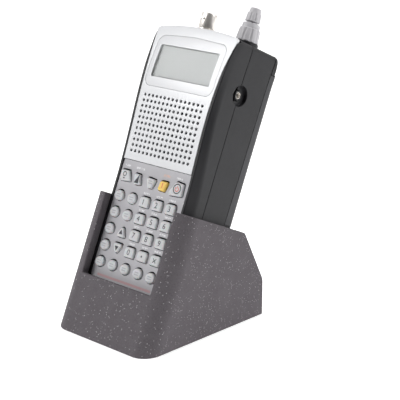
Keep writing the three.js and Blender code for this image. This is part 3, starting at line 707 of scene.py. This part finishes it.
# ---------------------------------------------------------------- keypad plate
# A grey painted plate with a shaped well for each key, a thin red line printed across its foot and
# small white marks above the digit keys. The marks are plain bars, not lettering.
PLATE_Y, PLATE_THICK = 0.7, 1.8
PITCH_X, PITCH_Z, MIDDLE_X, FIRST_ROW_Z = 10.3, 9.9, -1.4, 69.45
CROWN_ROW_Z = 81.3
SQUARE = rounded([(-3.85, -2.95, 0.9), (3.85, -2.95, 0.9), (3.85, 2.95, 2), (-3.85, 2.95, 2)], 6)
ROUND = [(3.6 * math.cos(k * math.pi / 18), 3.0 * math.sin(k * math.pi / 18)) for k in range(36)]
TRIANGLE = rounded([(-3.9, -3.1, 1.1), (3.9, -3.1, 1.1), (0, 4.4, 1.7)], 8)
CROWN_KEYS = {
    "light": (-21.4, rounded([(-3.6, -3.3, 1.2), (5.4, -2.7, 1.2), (2.2, 3.3, 1.2), (-4.4, 3.2, 1.2)])),
    "search": (-11.5, rounded([(-1.8, -3.6, 1.1), (3.7, -3.2, 1.1), (1.6, 2.6, 1.1), (-3.6, 2.8, 1.1)])),
    "mode": (-0.8, rounded([(-1.5, -3.6, 1), (2, -3.3, 1), (3.7, 1.9, 1), (-4, 2.4, 1)])),
    "shift": (8.8, rounded([(-3.4, -3.1, 1.1), (2.1, -3.3, 1.1), (3.6, 2.5, 1.1), (-2.5, 2.3, 1.1)])),
    "power": (19.9, rounded([
        (-4.6, -4.2, 1.2), (4.8, -3.6, 1.2), (4.4, 3.5, 1.2), (-1.7, 4.1, 1.2), (-5.9, -2.3, 1.2)])),
}
KEY_ROWS = (
    ("function_1", "function_2", "1", "2", "3"), ("function_3", "function_4", "4", "5", "6"),
    ("function_5", "up", "7", "8", "9"), ("function_6", "down", "0", "dot", "clear"),
    ("function_7", "function_8", "function_9", "function_10", "function_11"))


def key_outline(name):
    if name.startswith("function"):
        return ROUND
    if name in ("up", "down"):
        return [(x, z) if name == "up" else (-x, -z) for x, z in TRIANGLE]
    return SQUARE


keys = {
    name: (MIDDLE_X + (column - 2) * PITCH_X, FIRST_ROW_Z - row * PITCH_Z, key_outline(name))
    for row, names in enumerate(KEY_ROWS) for column, name in enumerate(names)}
keys.update({name: (x, CROWN_ROW_Z, outline) for name, (x, outline) in CROWN_KEYS.items()})


def well(x, z, outline):
    """The opening round a key: a little wider than the key, most of all above it."""
    width, top, bottom = max(p[0] for p in outline), max(p[1] for p in outline), -min(p[1] for p in outline)
    side, above, below = 0.4, 0.85, 0.35
    return [(x + a * (width + side) / width,
             z + (b * (top + above) / top if b > 0 else b * (bottom + below) / bottom))
            for a, b in outline]


def plate_paint():
    finish = Finish("keypad_grey", Metallic=0.15, Coat_Weight=0.15, Coat_Roughness=0.3)
    x, z = finish.axis(0) / MM, finish.axis(2) / MM
    fleck = finish.noise(0.35, 3)
    drift = finish.noise(12, 2)
    shade = finish.mix(fleck * 0.6 + drift * 0.4, (0.31, 0.303, 0.322), (0.46, 0.452, 0.472))
    ragged = finish.noise(0.9, 4)
    cell_x = ((x - MIDDLE_X + 0.8) / PITCH_X + 100.5).math("FRACT") - 0.5
    cell_z = ((z - FIRST_ROW_Z) / PITCH_Z + 99.99).math("FRACT") - 0.5
    marks = (abs(cell_x) < 0.23) * (abs(cell_z) < 0.055) * (x > -7) * (z > 42) * (z < 76)
    caption = (abs(z - 87.4) < 0.55) * ((abs(x + 22.5) < 2.2) + (abs(x + 12) < 3.4) + (abs(x - 19) < 2.3))
    shade = finish.mix((marks + caption) * (ragged > 0.46) * 0.6, shade, (0.78, 0.78, 0.79))
    orange = (abs(z - 87.1) < 0.7) * (abs(x - 9.2) < 2.6)
    shade = finish.mix(orange * (ragged > 0.46) * 0.45, shade, (0.80, 0.36, 0.16))
    band = (z > 21.9) * (z < 23.3) * (abs(x) < 21.6)
    shade = finish.mix(band * (0.25 + ragged * 0.4), shade, (0.50, 0.16, 0.16))
    return finish.set(
        Base_Color=shade, Roughness=0.42 + fleck * 0.16, Normal=finish.bump(fleck, 0.012, 0.5))


plate_low = CASE_LOW + WALL + GAP
plate = shown(
    "grey_plate", panel(
        "grey_plate", rounded([
            (-PLATE_HALF, plate_low, 0.8), (PLATE_HALF, plate_low, 0.8), (PLATE_HALF, PLATE_TOP - 0.1, 0.4),
            (-PLATE_HALF, PLATE_TOP - 0.1, 0.4)], 4),
        [well(*key) for key in keys.values()], lambda x, z: PLATE_Y, PLATE_THICK, 0.22, 8.0),
    plate_paint(), "receiver", "keypad_plate")

# ---------------------------------------------------------------- keys
# Thirty moulded silicone caps with pillowed tops, pale grey but for the yellow one. Each rides on
# its own body, and its printed symbol rides with it: digits, arrows, a power mark, or plain bars.
KEY_TOP_Y, KEY_DEPTH = -0.7, 3.8


def key_mesh(name, x, z, outline):
    """Rings from the middle of the top, over its rounded edge, down to the foot."""
    rings = [[(x + a * share, KEY_TOP_Y + depth, z + b * share) for a, b in outline]
             for share, depth in ((0.3, 0.0), (0.55, 0.015), (0.75, 0.07))]
    for inset, depth in ((0.62, 0.16), (0.34, 0.30), (0.12, 0.52), (0.0, 0.85), (0.0, 3.7), (0.1, KEY_DEPTH)):
        rings.append([(x + a, KEY_TOP_Y + depth, z + b) for a, b in offset(outline, inset)])
    return stacked(name, rings)


def silicone(name, low, high):
    finish = Finish(name, Subsurface_Weight=0.12, Subsurface_Scale=0.0015, Specular_IOR_Level=0.4)
    bloom = finish.noise(1.6, 3)
    grain = finish.noise(0.2, 2)
    shade = finish.mix(bloom * 0.7 + grain * 0.3, low, high)
    return finish.set(Base_Color=shade, Roughness=0.42 + bloom * 0.18, Normal=finish.bump(grain, 0.01, 0.5))


def ink(name, low, high):
    finish = Finish(name, Specular_IOR_Level=0.3)
    grain = finish.noise(0.3, 3)
    return finish.set(Base_Color=finish.mix(grain, low, high), Roughness=0.45 + grain * 0.2)


pale_key = silicone("key_light", (0.51, 0.514, 0.524), (0.61, 0.615, 0.625))
yellow_key = silicone("key_yellow", (0.78, 0.51, 0.10), (0.90, 0.64, 0.18))
dark_ink = ink("dark_ink", (0.035, 0.033, 0.040), (0.065, 0.062, 0.072))
faint_ink = ink("faint_ink", (0.34, 0.34, 0.36), (0.46, 0.46, 0.48))
red_ink = ink("red_ink", (0.55, 0.10, 0.07), (0.72, 0.17, 0.11))
INK_TOP, INK_FOOT = KEY_TOP_Y - 0.02, KEY_TOP_Y + 0.08


def inked(name, outline, x, z):
    """A printed shape: a thin prism that stands a hair proud of the key's top."""
    return stacked(name, [[(x + a, depth, z + b) for a, b in outline] for depth in (INK_TOP, INK_FOOT)])


def digit_mesh(name, text, height, x, z):
    curve = bpy.data.curves.new(name, "FONT")
    curve.body, curve.size, curve.extrude = text, height * 1.36 * MM, 0.5 * (INK_FOOT - INK_TOP) * MM
    curve.align_x, curve.align_y = "CENTER", "CENTER"
    letter = bpy.data.objects.new(name, curve)
    bpy.context.scene.collection.objects.link(letter)
    bpy.context.view_layer.update()
    mesh = bpy.data.meshes.new_from_object(letter.evaluated_get(bpy.context.evaluated_depsgraph_get()))
    bpy.data.objects.remove(letter)
    mesh.transform(Matrix.Translation((x * MM, 0.5 * (INK_TOP + INK_FOOT) * MM, z * MM))
                   @ Matrix.Rotation(math.radians(90), 4, "X"))
    return mesh


def arrow(size, up):
    sign = 1 if up else -1
    return [(-size * sign, -size * 0.8 * sign), (size * sign, -size * 0.8 * sign), (0, size * sign)]


def bars(width, thick, spread):
    """Two short plain bars, one above the other."""
    return [[(-width, b - thick), (width, b - thick), (width, b + thick), (-width, b + thick)]
            for b in (spread, -spread)]


def ring_mesh(name, outer, inner, x, z, gap=0.0):
    """A flat ring, open over an arc at its top when gap is given in degrees."""
    start, end = 90 + gap / 2, 450 - gap / 2
    steps = 40
    points = [arc(x, z, radius, start, end, steps) for radius in (outer, inner)]
    outline = points[0] + points[1][::-1]
    verts = [(a, depth, b) for depth in (INK_TOP, INK_FOOT) for a, b in outline]
    size = len(outline)
    faces = []
    for k in range(steps):
        a, b, c, d = k, k + 1, size - 2 - k, size - 1 - k
        faces += [(a, b, c, d), (a + size, d + size, c + size, b + size)]
        faces += [(a, a + size, b + size, b), (c, c + size, d + size, d)]
    if gap:
        faces += [(0, size - 1, 2 * size - 1, size), (steps, steps + size, steps + 1 + size, steps + 1)]
    return mesh_of(name, verts, faces)


def print_key(name, x, z):
    """The symbol on one key, as a list of (mesh, finish)."""
    if name.isdigit():
        return [(digit_mesh("digit_" + name, name, 3.3, x - 0.3, z - 0.1), dark_ink)]
    if name == "dot":
        return [(inked("mark_dot", circle(0.55, 0, 0, 20), x, z), dark_ink)]
    if name in ("up", "down"):
        return [(inked("mark_" + name, arrow(1.5, name == "up"), x, z - (0.2 if name == "up" else -0.2)),
                 dark_ink)]
    if name == "clear":
        cross = []
        for turn in (math.radians(45), math.radians(-45)):
            spin = Matrix.Rotation(turn, 2)
            corners = ((-1.7, -0.22), (1.7, -0.22), (1.7, 0.22), (-1.7, 0.22))
            cross.append([tuple(spin @ Vector(corner)) for corner in corners])
        return [(inked(f"mark_clear_{i}", bar, x, z), dark_ink) for i, bar in enumerate(cross)]
    if name == "search":
        return [(inked("mark_search", [(-1.9, -2.6), (1.6, -2.6), (0.9, 2.4)], x + 0.1, z), dark_ink)]
    if name == "power":
        x, z = x + 0.3, z + 0.3
        return [
            (ring_mesh("mark_power_rim", 2.9, 2.35, x, z), dark_ink),
            (ring_mesh("mark_power_ring", 1.55, 1.05, x, z - 0.15, gap=80), red_ink),
            (inked("mark_power_bar", [(-0.25, 0), (0.25, 0), (0.25, 1.6), (-0.25, 1.6)], x, z), red_ink)]
    if name == "light":
        return [(ring_mesh("mark_lamp", 1.45, 1.0, x - 0.5, z + 0.9), dark_ink),
                (inked("mark_lamp_cap", [(-0.6, -0.35), (0.6, -0.35), (0.6, 0.35), (-0.6, 0.35)],
                       x - 0.5, z - 1.5), dark_ink)]
    if name == "shift":
        return [(inked("mark_shift", [(-0.3, -1.4), (0.3, -1.4), (0.3, 1.4), (-0.3, 1.4)], x, z), red_ink)]
    return [(inked(f"mark_{name}_{i}", bar, x, z), faint_ink) for i, bar in enumerate(bars(1.5, 0.3, 0.65))]


for name, (x, z, outline) in keys.items():
    body = "key_" + name
    cap = shown("cap_" + name, key_mesh("cap_" + name, x, z, outline),
                yellow_key if name == "shift" else pale_key, body, body, crease=60)
    "key_yellow" if name == "shift" else "key_light"
    for mesh, finish in print_key(name, x, z):
        shown(mesh.name, mesh, finish, body)

# ---------------------------------------------------------------- squelch and volume knobs
# Two moulded knobs in mid grey, the volume knob's stem running through the squelch ring. Each has a
# fluted skirt and a narrower plain cap.
KNOB_LOW = 172.6
FLUTES = 10


def knob_plastic():
    finish = Finish("knob_grey", Specular_IOR_Level=0.45)
    fine = finish.noise(0.25, 3)
    cloud = finish.noise(4, 2)
    shade = finish.mix(cloud * 0.5 + fine * 0.5, (0.46, 0.45, 0.47), (0.62, 0.61, 0.63))
    return finish.set(Base_Color=shade, Roughness=0.38 + fine * 0.15, Normal=finish.bump(fine, 0.015, 0.5))


def turned(name, profile, x, y, sides=64):
    """A solid lathe about the z direction. The profile lists (radius, z)."""
    rings = []
    for radius, z in profile:
        ring = []
        for k in range(sides):
            turn = 2 * math.pi * k / sides
            ring.append((x + radius * math.cos(turn), y + radius * math.sin(turn), z))
        rings.append(ring)
    return stacked(name, rings)


def lathe_tube(name, profile, x, y, sides=64, fluted=None):
    """A turned ring: the profile is closed, so the solid keeps its bore."""
    points, faces = [], []
    for radius, z in profile:
        for k in range(sides):
            turn = 2 * math.pi * k / sides
            reach = radius
            if fluted and fluted[0] <= z <= fluted[1] and radius > fluted[3]:
                reach -= fluted[2] * max(0, math.cos(FLUTES * turn)) ** 1.6
            points.append((x + reach * math.cos(turn), y + reach * math.sin(turn), z))
    for i in range(len(profile)):
        j = (i + 1) % len(profile)
        for k in range(sides):
            n = (k + 1) % sides
            faces.append((i * sides + k, j * sides + k, j * sides + n, i * sides + n))
    return mesh_of(name, points, faces)


knob_grey = knob_plastic()
squelch = shown("squelch_ring", lathe_tube("squelch_ring", [
    (1.9, 168.6), (2.9, 168.6), (3, 168.7), (3, KNOB_LOW), (6.35, KNOB_LOW), (6.6, KNOB_LOW + 0.25),
    (6.35, 176), (6.05, 179.7), (5.85, 180.1), (5.4, 180.3), (5.2, 180.45), (5.05, 182.7), (4.9, 183.1),
    (4.6, 183.3), (2.0, 183.3), (1.9, 183.2)], KNOB_X, TOP_PARTS_Y, 120, (172.8, 180.0, 0.42, 5.5)),
    knob_grey, "squelch_knob", "squelch_knob")
volume = shown("volume_cap", lathe_tube("volume_cap", [
    (0.02, 168.6), (1.4, 168.6), (1.5, 168.7), (1.5, 184.4), (4.15, 184.4), (4.35, 184.6), (4.2, 186.5),
    (4.0, 189.1), (3.85, 189.4), (3.5, 189.6), (3.4, 189.75), (3.25, 191.7), (3.1, 192.1), (2.8, 192.3),
    (0.02, 192.3)], KNOB_X, TOP_PARTS_Y, 120, (184.5, 189.3, 0.32, 3.6)),
    knob_grey, "volume_knob", "volume_knob")

# ---------------------------------------------------------------- aerial socket
# A bayonet socket turned from nickel-plated brass, with two lugs, a cream insulator and a gilt
# contact in it. A hexagon nut holds it to the top end.
SOCKET_TOP = 185.4


def plated(name, low, high, roughness):
    finish = Finish(name, Metallic=0.7)
    ring = finish.noise(0.5, 4)
    stain = finish.noise(5, 3)
    shade = finish.mix(stain * 0.7 + ring * 0.3, low, high)
    return finish.set(
        Base_Color=shade, Roughness=roughness + ring * 0.12, Normal=finish.bump(ring, 0.01, 0.3))


def socket_plastic():
    finish = Finish("insulator", Subsurface_Weight=0.1, Subsurface_Scale=0.001)
    cloud = finish.noise(1.5, 3)
    shade = finish.mix(cloud, (0.80, 0.77, 0.68), (0.88, 0.86, 0.79))
    return finish.set(Base_Color=shade, Roughness=0.4 + cloud * 0.15)


nickel = plated("nickel", (0.82, 0.78, 0.73), (0.96, 0.93, 0.89), 0.3)
brass = plated("brass", (0.62, 0.44, 0.16), (0.78, 0.60, 0.28), 0.22)


def lug(side):
    rings = [[(SOCKET_X + r * math.cos(t), TOP_PARTS_Y + side * reach, SOCKET_TOP - 3.6 + r * math.sin(t))
              for t in (2 * math.pi * k / 24 for k in range(24))]
             for r, reach in ((0.93, 4.3), (0.93, 5.5), (0.8, 5.66), (0.55, 5.7))]
    return stacked("lug", rings)


socket_body = combined(
    lathe_tube("socket", [
        (0.3, 164), (1.8, 164), (2, 164.3), (2, 168.5), (4.55, 168.5), (4.7, 168.65), (4.7, 175.2),
        (4.4, 175.7), (4.4, 176.2), (4.65, 176.5), (4.8, 176.7), (4.8, SOCKET_TOP - 0.55),
        (4.72, SOCKET_TOP - 0.2), (4.5, SOCKET_TOP), (4.2, SOCKET_TOP), (4.05, SOCKET_TOP - 0.15),
        (4.05, 177.5), (0.3, 177.4)], SOCKET_X, TOP_PARTS_Y, 96),
    ("UNION", lug(-1)), ("UNION", lug(1)))
socket = shown("socket_barrel", socket_body, nickel, "receiver", "aerial_socket", crease=40)
hexagon = [(SOCKET_X + 7 * math.cos(t), TOP_PARTS_Y + 7 * math.sin(t))
           for t in (math.radians(60 * k + 30) for k in range(6))]
nut_mesh = softened(combined(
    prism(hexagon, "z", 172.9, 175.2), ("DIFFERENCE", round_hole(5, SOCKET_X, TOP_PARTS_Y, 170, 178, 64)),
    ("DIFFERENCE", lathe_tube(
        "chamfer", [(6.5, 175.3), (8, 175.3), (8, 174.3)], SOCKET_X, TOP_PARTS_Y))), 0.12)
nut = shown("panel_nut", nut_mesh, nickel, "receiver", "socket_nut")
tube = shown("socket_sleeve", lathe_tube("socket_sleeve", [
    (1.1, 177.7), (2.6, 177.7), (2.6, 182.5), (2.35, 182.8), (1.35, 182.8), (1.1, 182.55)],
    SOCKET_X, TOP_PARTS_Y, 48), socket_plastic(), "receiver", "socket_insulator")
pin = shown("socket_pin", turned("socket_pin", [
    (0.7, 177.7), (0.7, 183.2), (0.6, 183.5), (0.35, 183.6)], SOCKET_X, TOP_PARTS_Y, 24),
    brass, "receiver", "socket_contact")

# ---------------------------------------------------------------- headphone jack
# A black moulded jack behind the dished opening in the side, with a bright sleeve in its mouth.
def black_moulding(name, low, high, roughness):
    finish = Finish(name, Specular_IOR_Level=0.45)
    fine = finish.noise(0.3, 3)
    cloud = finish.noise(3, 2)
    shade = finish.mix(cloud * 0.5 + fine * 0.5, low, high)
    return finish.set(
        Base_Color=shade, Roughness=roughness + fine * 0.15, Normal=finish.bump(fine, 0.01, 0.5))


black = black_moulding("black_plastic", (0.010, 0.010, 0.012), (0.022, 0.022, 0.025), 0.3)
sideways = Matrix.Translation((0, JACK_Y * MM, JACK_Z * MM)) @ Matrix.Rotation(math.radians(90), 4, "Y")


def sideways_tube(name, profile):
    """A turned ring about the jack's axis. The profile lists (radius, x)."""
    mesh = lathe_tube(name, profile, 0, 0, 56)
    mesh.transform(sideways)
    return mesh


jack_body = softened(combined(
    block(14, 26, JACK_Y - 4, JACK_Y + 4, JACK_Z - 4, JACK_Z + 4),
    ("DIFFERENCE", sideways_tube("bore", [(0.01, 15.5), (2.2, 15.5), (2.2, 30), (0.01, 30)]))), 0.3)
jack_nose = sideways_tube("nose", [
    (1.9, 15.6), (2.3, 15.6), (2.9, 26.1), (2.9, 29.1), (2.7, 29.45), (2.35, 29.6), (2.05, 29.5),
    (1.9, 29.2)])
jack = shown("jack_block", jack_body, black, "receiver", "headphone_jack")
nose = shown("jack_nose", jack_nose, black, "receiver")
sleeve = shown("jack_sleeve", sideways_tube("jack_sleeve", [
    (1.55, 16), (1.88, 16), (1.88, 29.35), (1.78, 29.5), (1.62, 29.45), (1.55, 29.2)]), nickel, "receiver")

# ---------------------------------------------------------------- battery door
# The moulded back panel, which slides straight off the back. Its upper end has five thumb grooves,
# and its inside is hollow over the cells.
def door_mesh():
    grooves = [
        ("DIFFERENCE", prism(arc(CASE_BACK + 0.55, 151 - 3 * k, 1.1, 0, 352.5, 47), "x", -14, 14))
        for k in range(5)]
    return combined(
        shell.copy(), ("INTERSECT", door_block(-0.1)),
        ("DIFFERENCE", block(-inner, inner, 30, CASE_BACK - WALL, DOOR_LOW + WALL, DOOR_TOP - WALL)),
        *grooves)


door = shown("back_door", softened(door_mesh(), 0.25), lit_door_charcoal, "battery_door", "battery_door",
             upright=True)

# ---------------------------------------------------------------- cells, contacts and case screws
# Four plain sleeved cells stand side by side under the door, between two nickelled contact strips
# with pressed bumps. Two cross-head screws above them hold the case together.
CELL_LOW, CELL_LENGTH, CELL_PITCH, CELL_Y = 84.0, 50.5, 14.5, 31.0
CONTACT_HALF = 27.5


def sleeve_print():
    finish = Finish("cell_sleeve", Metallic=0.35, Coat_Weight=0.5, Coat_Roughness=0.12)
    z = finish.axis(2) / MM
    fine = finish.noise(0.6, 3)
    body = finish.mix(fine, (0.10, 0.13, 0.20), (0.15, 0.185, 0.27))
    shade = finish.mix(z > CELL_LOW + 37, body, (0.62, 0.45, 0.22))
    bare = (z > CELL_LOW + 48.2).math("MAXIMUM", z < CELL_LOW + 0.7)
    shade = finish.mix(bare, shade, (0.62, 0.61, 0.59))
    return finish.set(Base_Color=shade, Roughness=0.3 + fine * 0.12, Metallic=0.35 + bare * 0.6)


sleeve_finish = sleeve_print()
steel = plated("steel", (0.42, 0.42, 0.43), (0.58, 0.58, 0.58), 0.28)
for i in range(4):
    x = (i - 1.5) * CELL_PITCH
    top = CELL_LOW + CELL_LENGTH
    cell = shown(f"cell_{i + 1}", turned(f"cell_{i + 1}", [
        (3.4, CELL_LOW + 0.35), (3.9, CELL_LOW), (6.3, CELL_LOW), (6.75, CELL_LOW + 0.2),
        (7.1, CELL_LOW + 0.7), (7.1, CELL_LOW + 48), (6.85, CELL_LOW + 48.6), (6.3, CELL_LOW + 48.8),
        (5.9, CELL_LOW + 48.5),
        (2.75, CELL_LOW + 48.8), (2.7, top - 0.3), (2.4, top), (0.6, top)], x, CELL_Y, 56),
        sleeve_finish, "receiver", f"battery_{i + 1}")


def contact_mesh(low, high, bump_low, bump_high, foot, tip):
    strip = softened(block(-CONTACT_HALF, CONTACT_HALF, CELL_Y - 4, CELL_Y + 4, low, high), 0.12)
    steps = [("UNION", turned("bump", [
        (foot, bump_low), (foot - (foot - tip) * 0.3, bump_low + (bump_high - bump_low) * 0.5),
        (tip, bump_high)], (i - 1.5) * CELL_PITCH, CELL_Y, 32)) for i in range(4)]
    slots = [("DIFFERENCE", block(x - 0.4, x + 0.4, CELL_Y - 5, CELL_Y + 2.5, low - 1, high + 1))
             for x in (-CELL_PITCH, CELL_PITCH)]
    return combined(strip, *steps, *slots)


springs = shown("spring_strip", contact_mesh(79.8, 80.3, 80.0, 83.7, 3.6, 2.0), steel, "receiver",
                "spring_contacts")
plates = shown("plate_strip", contact_mesh(138.7, 139.2, 139.0, 134.8, 2.6, 1.5), steel, "receiver",
               "plate_contacts")
for name, side in (("case_screw_left", -1), ("case_screw_right", 1)):
    seat = door_edge_y(149) + 1.6
    head = lathe_tube("screw", [
        (0.01, 0), (2.3, 0), (2.6, 0.2), (2.7, 0.5), (2.7, 1.6), (1.3, 1.6), (1.3, 11.5), (0.9, 12),
        (0.01, 12)], 0, 0, 40)
    steps = [("DIFFERENCE", block(-a, a, -b, b, -0.5, 0.9)) for a, b in ((1.6, 0.3), (0.3, 1.6))]
    screw = combined(head, *steps)
    screw.transform(Matrix.Translation((side * 24 * MM, seat * MM, 149 * MM))
                    @ Matrix.Rotation(math.radians(90), 4, "X"))
    shown(name + "_cross", screw, steel, "receiver", name)

# ---------------------------------------------------------------- boards, key mat and loudspeaker
# Inside are a rubber contact mat behind the keys, a logic board, a radio board with a few plain parts
# on it, and a loudspeaker with a paper cone behind a dark cloth. Each is held by the case.
def board_lacquer():
    finish = Finish("circuit_board", Coat_Weight=0.4, Coat_Roughness=0.2)
    weave = finish.noise(0.8, 3)
    x, z = finish.axis(0) / MM, finish.axis(2) / MM
    track = ((x / 2.54 + 100).math("FRACT") < 0.3) * ((z / 12 + finish.noise(9, 1)).math("FRACT") < 0.6)
    shade = finish.mix(weave, (0.012, 0.075, 0.035), (0.022, 0.11, 0.052))
    shade = finish.mix(track * 0.6, shade, (0.03, 0.17, 0.075))
    return finish.set(Base_Color=shade, Roughness=0.38 + weave * 0.15)


lacquer = board_lacquer()
rubber = black_moulding("rubber_mat", (0.035, 0.035, 0.038), (0.055, 0.055, 0.06), 0.6)


def cloth_weave():
    finish = Finish("cloth", Sheen_Weight=0.05)
    x, z = finish.axis(0) / MM, finish.axis(2) / MM
    thread = (x * 9).math("SINE") * (z * 9).math("SINE")
    shade = finish.mix(thread * 0.5 + 0.5, (0.002, 0.002, 0.002), (0.008, 0.008, 0.009))
    return finish.set(Base_Color=shade, Roughness=0.85 + thread * 0.08, Normal=finish.bump(thread, 0.1, 0.5))


mat_steps = [("UNION", softened(block(x - 2.2, x + 2.2, 4.15, 4.6, z - 1.7, z + 1.7), 0.12))
             for x, z, _ in keys.values()]
mat = shown("contact_mat", softened(combined(
    softened(block(-25.5, 25.5, 4.4, 5.4, 24, 87), 0.2), *mat_steps), 0.05), rubber, "receiver", "keypad_mat")
chips = [("UNION", softened(block(x - a, x + a, 6.9, 7.28, z - b, z + b), 0.1))
         for x, z, a, b in ((-14, 40, 6, 6), (8, 52, 8, 5), (12, 30, 4, 3), (-10, 72, 7, 4), (16, 76, 5, 3))]
logic = shown("logic_card", softened(combined(
    block(-27, 27, 5.7, 6.95, 18, 91), *chips), 0.08), lacquer, "receiver", "logic_board")
parts = [("UNION", softened(block(x - a, x + a, 17.22, 17.7, z - b, z + b), 0.1))
         for x, z, a, b in (
             (-12, 40, 9, 8), (12, 44, 8, 10), (-14, 74, 7, 7), (10, 84, 9, 7), (0, 112, 12, 9))]
radio = shown("radio_card", softened(combined(
    block(-27.5, 27.5, 17.6, 18.8, 20, 132), *parts), 0.08), lacquer, "receiver", "rf_board")

GRILLE_TILT = RECEIVER @ Matrix.Translation((0, 0, GRILLE_Z * MM)) @ Matrix.Rotation(math.radians(4), 4, "X")
cloth = shown("grille_cloth", plain_box("grille_cloth", 25.5, 18, 1.1, 1.5, 0.12), cloth_weave(),
              "receiver", "speaker_cloth", matrix=GRILLE_TILT)
basket = lathe_tube("basket", [
    (0.5, 6.2), (4.2, 5.6), (5.2, 6.6), (15.6, 2.6), (16.6, 2.0), (17.4, 2.5), (18.6, 2.0), (19, 2.3),
    (19, 3.5), (18.4, 3.7), (9, 8.4), (9, 12), (8.7, 12.2), (0.5, 12.2)], 0, 0, 72)
basket.transform(Matrix.Rotation(math.radians(-90), 4, "X"))
speaker = shown("speaker_basket", basket, steel, "receiver", "loudspeaker", matrix=GRILLE_TILT)
bush_top = KNOB_LOW - GAP
pot_mesh = combined(
    softened(block(KNOB_X - 6, KNOB_X + 6, 12.5, 24.5, 156, 167), 0.35),
    ("UNION", turned("bush", [(4, 160), (4, bush_top - 0.3), (3.8, bush_top)], KNOB_X, TOP_PARTS_Y, 48)),
    ("DIFFERENCE", turned("bore", [(3.3, 168.2), (3.3, 180)], KNOB_X, TOP_PARTS_Y, 48)))
shown("pot_can", pot_mesh, steel, "receiver", "control_pot")

# ---------------------------------------------------------------- floor, light and camera
# A white sheet on a grey table, in a pale studio. The sky is bright but for a dark part to the right
# front, with a large soft light from the left front, one from the right and a weak one from the back.
AIM = Vector((0.0195, 0.0152, 0.0741))
VIEW = Vector((-0.6579, 0.6940, -0.2925))
DISTANCE = 0.742


def table_paint():
    finish = Finish("table", Roughness=0.6, Emission_Strength=0.62)
    cloud = finish.noise(60, 2)
    shade = finish.mix(cloud, (0.93, 0.93, 0.935), (0.95, 0.95, 0.95))
    # The white sheet ends to the right and in front of the stand, on a dark table.
    across = finish.axis(0) * 0.88 - finish.axis(1) * 0.47
    past_edge = ((across - 0.2) * 4).math("MAXIMUM", 0.0).math("MINIMUM", 1.0)
    shade = finish.mix(past_edge, shade, (0.28, 0.28, 0.29))
    return finish.set(Base_Color=shade, Emission_Color=shade, Roughness=0.55 + cloud * 0.1)


table_mesh = bpy.data.meshes.new("table")
table_mesh.from_pydata([(-4, -4, 0), (4, -4, 0), (4, 4, 0), (-4, 4, 0)], [], [(0, 1, 2, 3)])
table_mesh.materials.append(table_paint().material)
table = bpy.data.objects.new("table", table_mesh)
bpy.context.scene.collection.objects.link(table)
table.location.z = -0.0002

world = bpy.data.worlds.new("studio")
bpy.context.scene.world = world
world.use_nodes = True
nodes, links = world.node_tree.nodes, world.node_tree.links
towards = nodes.new("ShaderNodeTexCoord")
facing = nodes.new("ShaderNodeVectorMath")
facing.operation = "DOT_PRODUCT"
facing.inputs[1].default_value = Vector((0.80, -0.55, 0.1)).normalized()
band = nodes.new("ShaderNodeMapRange")
band.interpolation_type = "SMOOTHSTEP"
for socket, value in (("From Min", -0.15), ("From Max", 0.75), ("To Min", 0.72), ("To Max", 0.03)):
    band.inputs[socket].default_value = value
links.new(towards.outputs["Generated"], facing.inputs[0])
links.new(facing.outputs["Value"], band.inputs["Value"])
links.new(band.outputs["Result"], nodes["Background"].inputs["Strength"])
nodes["Background"].inputs["Color"].default_value = (1, 1, 1, 1)
bpy.context.scene.view_settings.view_transform = "Standard"

for name, azimuth, elevation, distance, size, power in (
        ("left_front", -38, 38, 1.0, 0.55, 5.0), ("right_back", 122, 34, 1.0, 0.55, 5.2),
        ("over_back", 200, 60, 1.1, 0.6, 2.4)):
    turn, rise = math.radians(azimuth), math.radians(elevation)
    spot = Vector((math.sin(turn) * math.cos(rise), -math.cos(turn) * math.cos(rise), math.sin(rise)))
    lamp = bpy.data.lights.new(name, "AREA")
    lamp.shape, lamp.size, lamp.energy = "DISK", size, power
    holder = bpy.data.objects.new(name, lamp)
    bpy.context.scene.collection.objects.link(holder)
    holder.location = AIM + spot * distance
    holder.rotation_euler = (-spot).to_track_quat("-Z", "Y").to_euler()

camera = bpy.data.objects.new("camera", bpy.data.cameras.new("camera"))
bpy.context.scene.collection.objects.link(camera)
camera.data.lens, camera.data.sensor_width, camera.data.clip_start = 117.74, 36, 0.05
camera.location = AIM - VIEW.normalized() * DISTANCE
camera.rotation_euler = VIEW.to_track_quat("-Z", "Y").to_euler()
bpy.context.scene.camera = camera
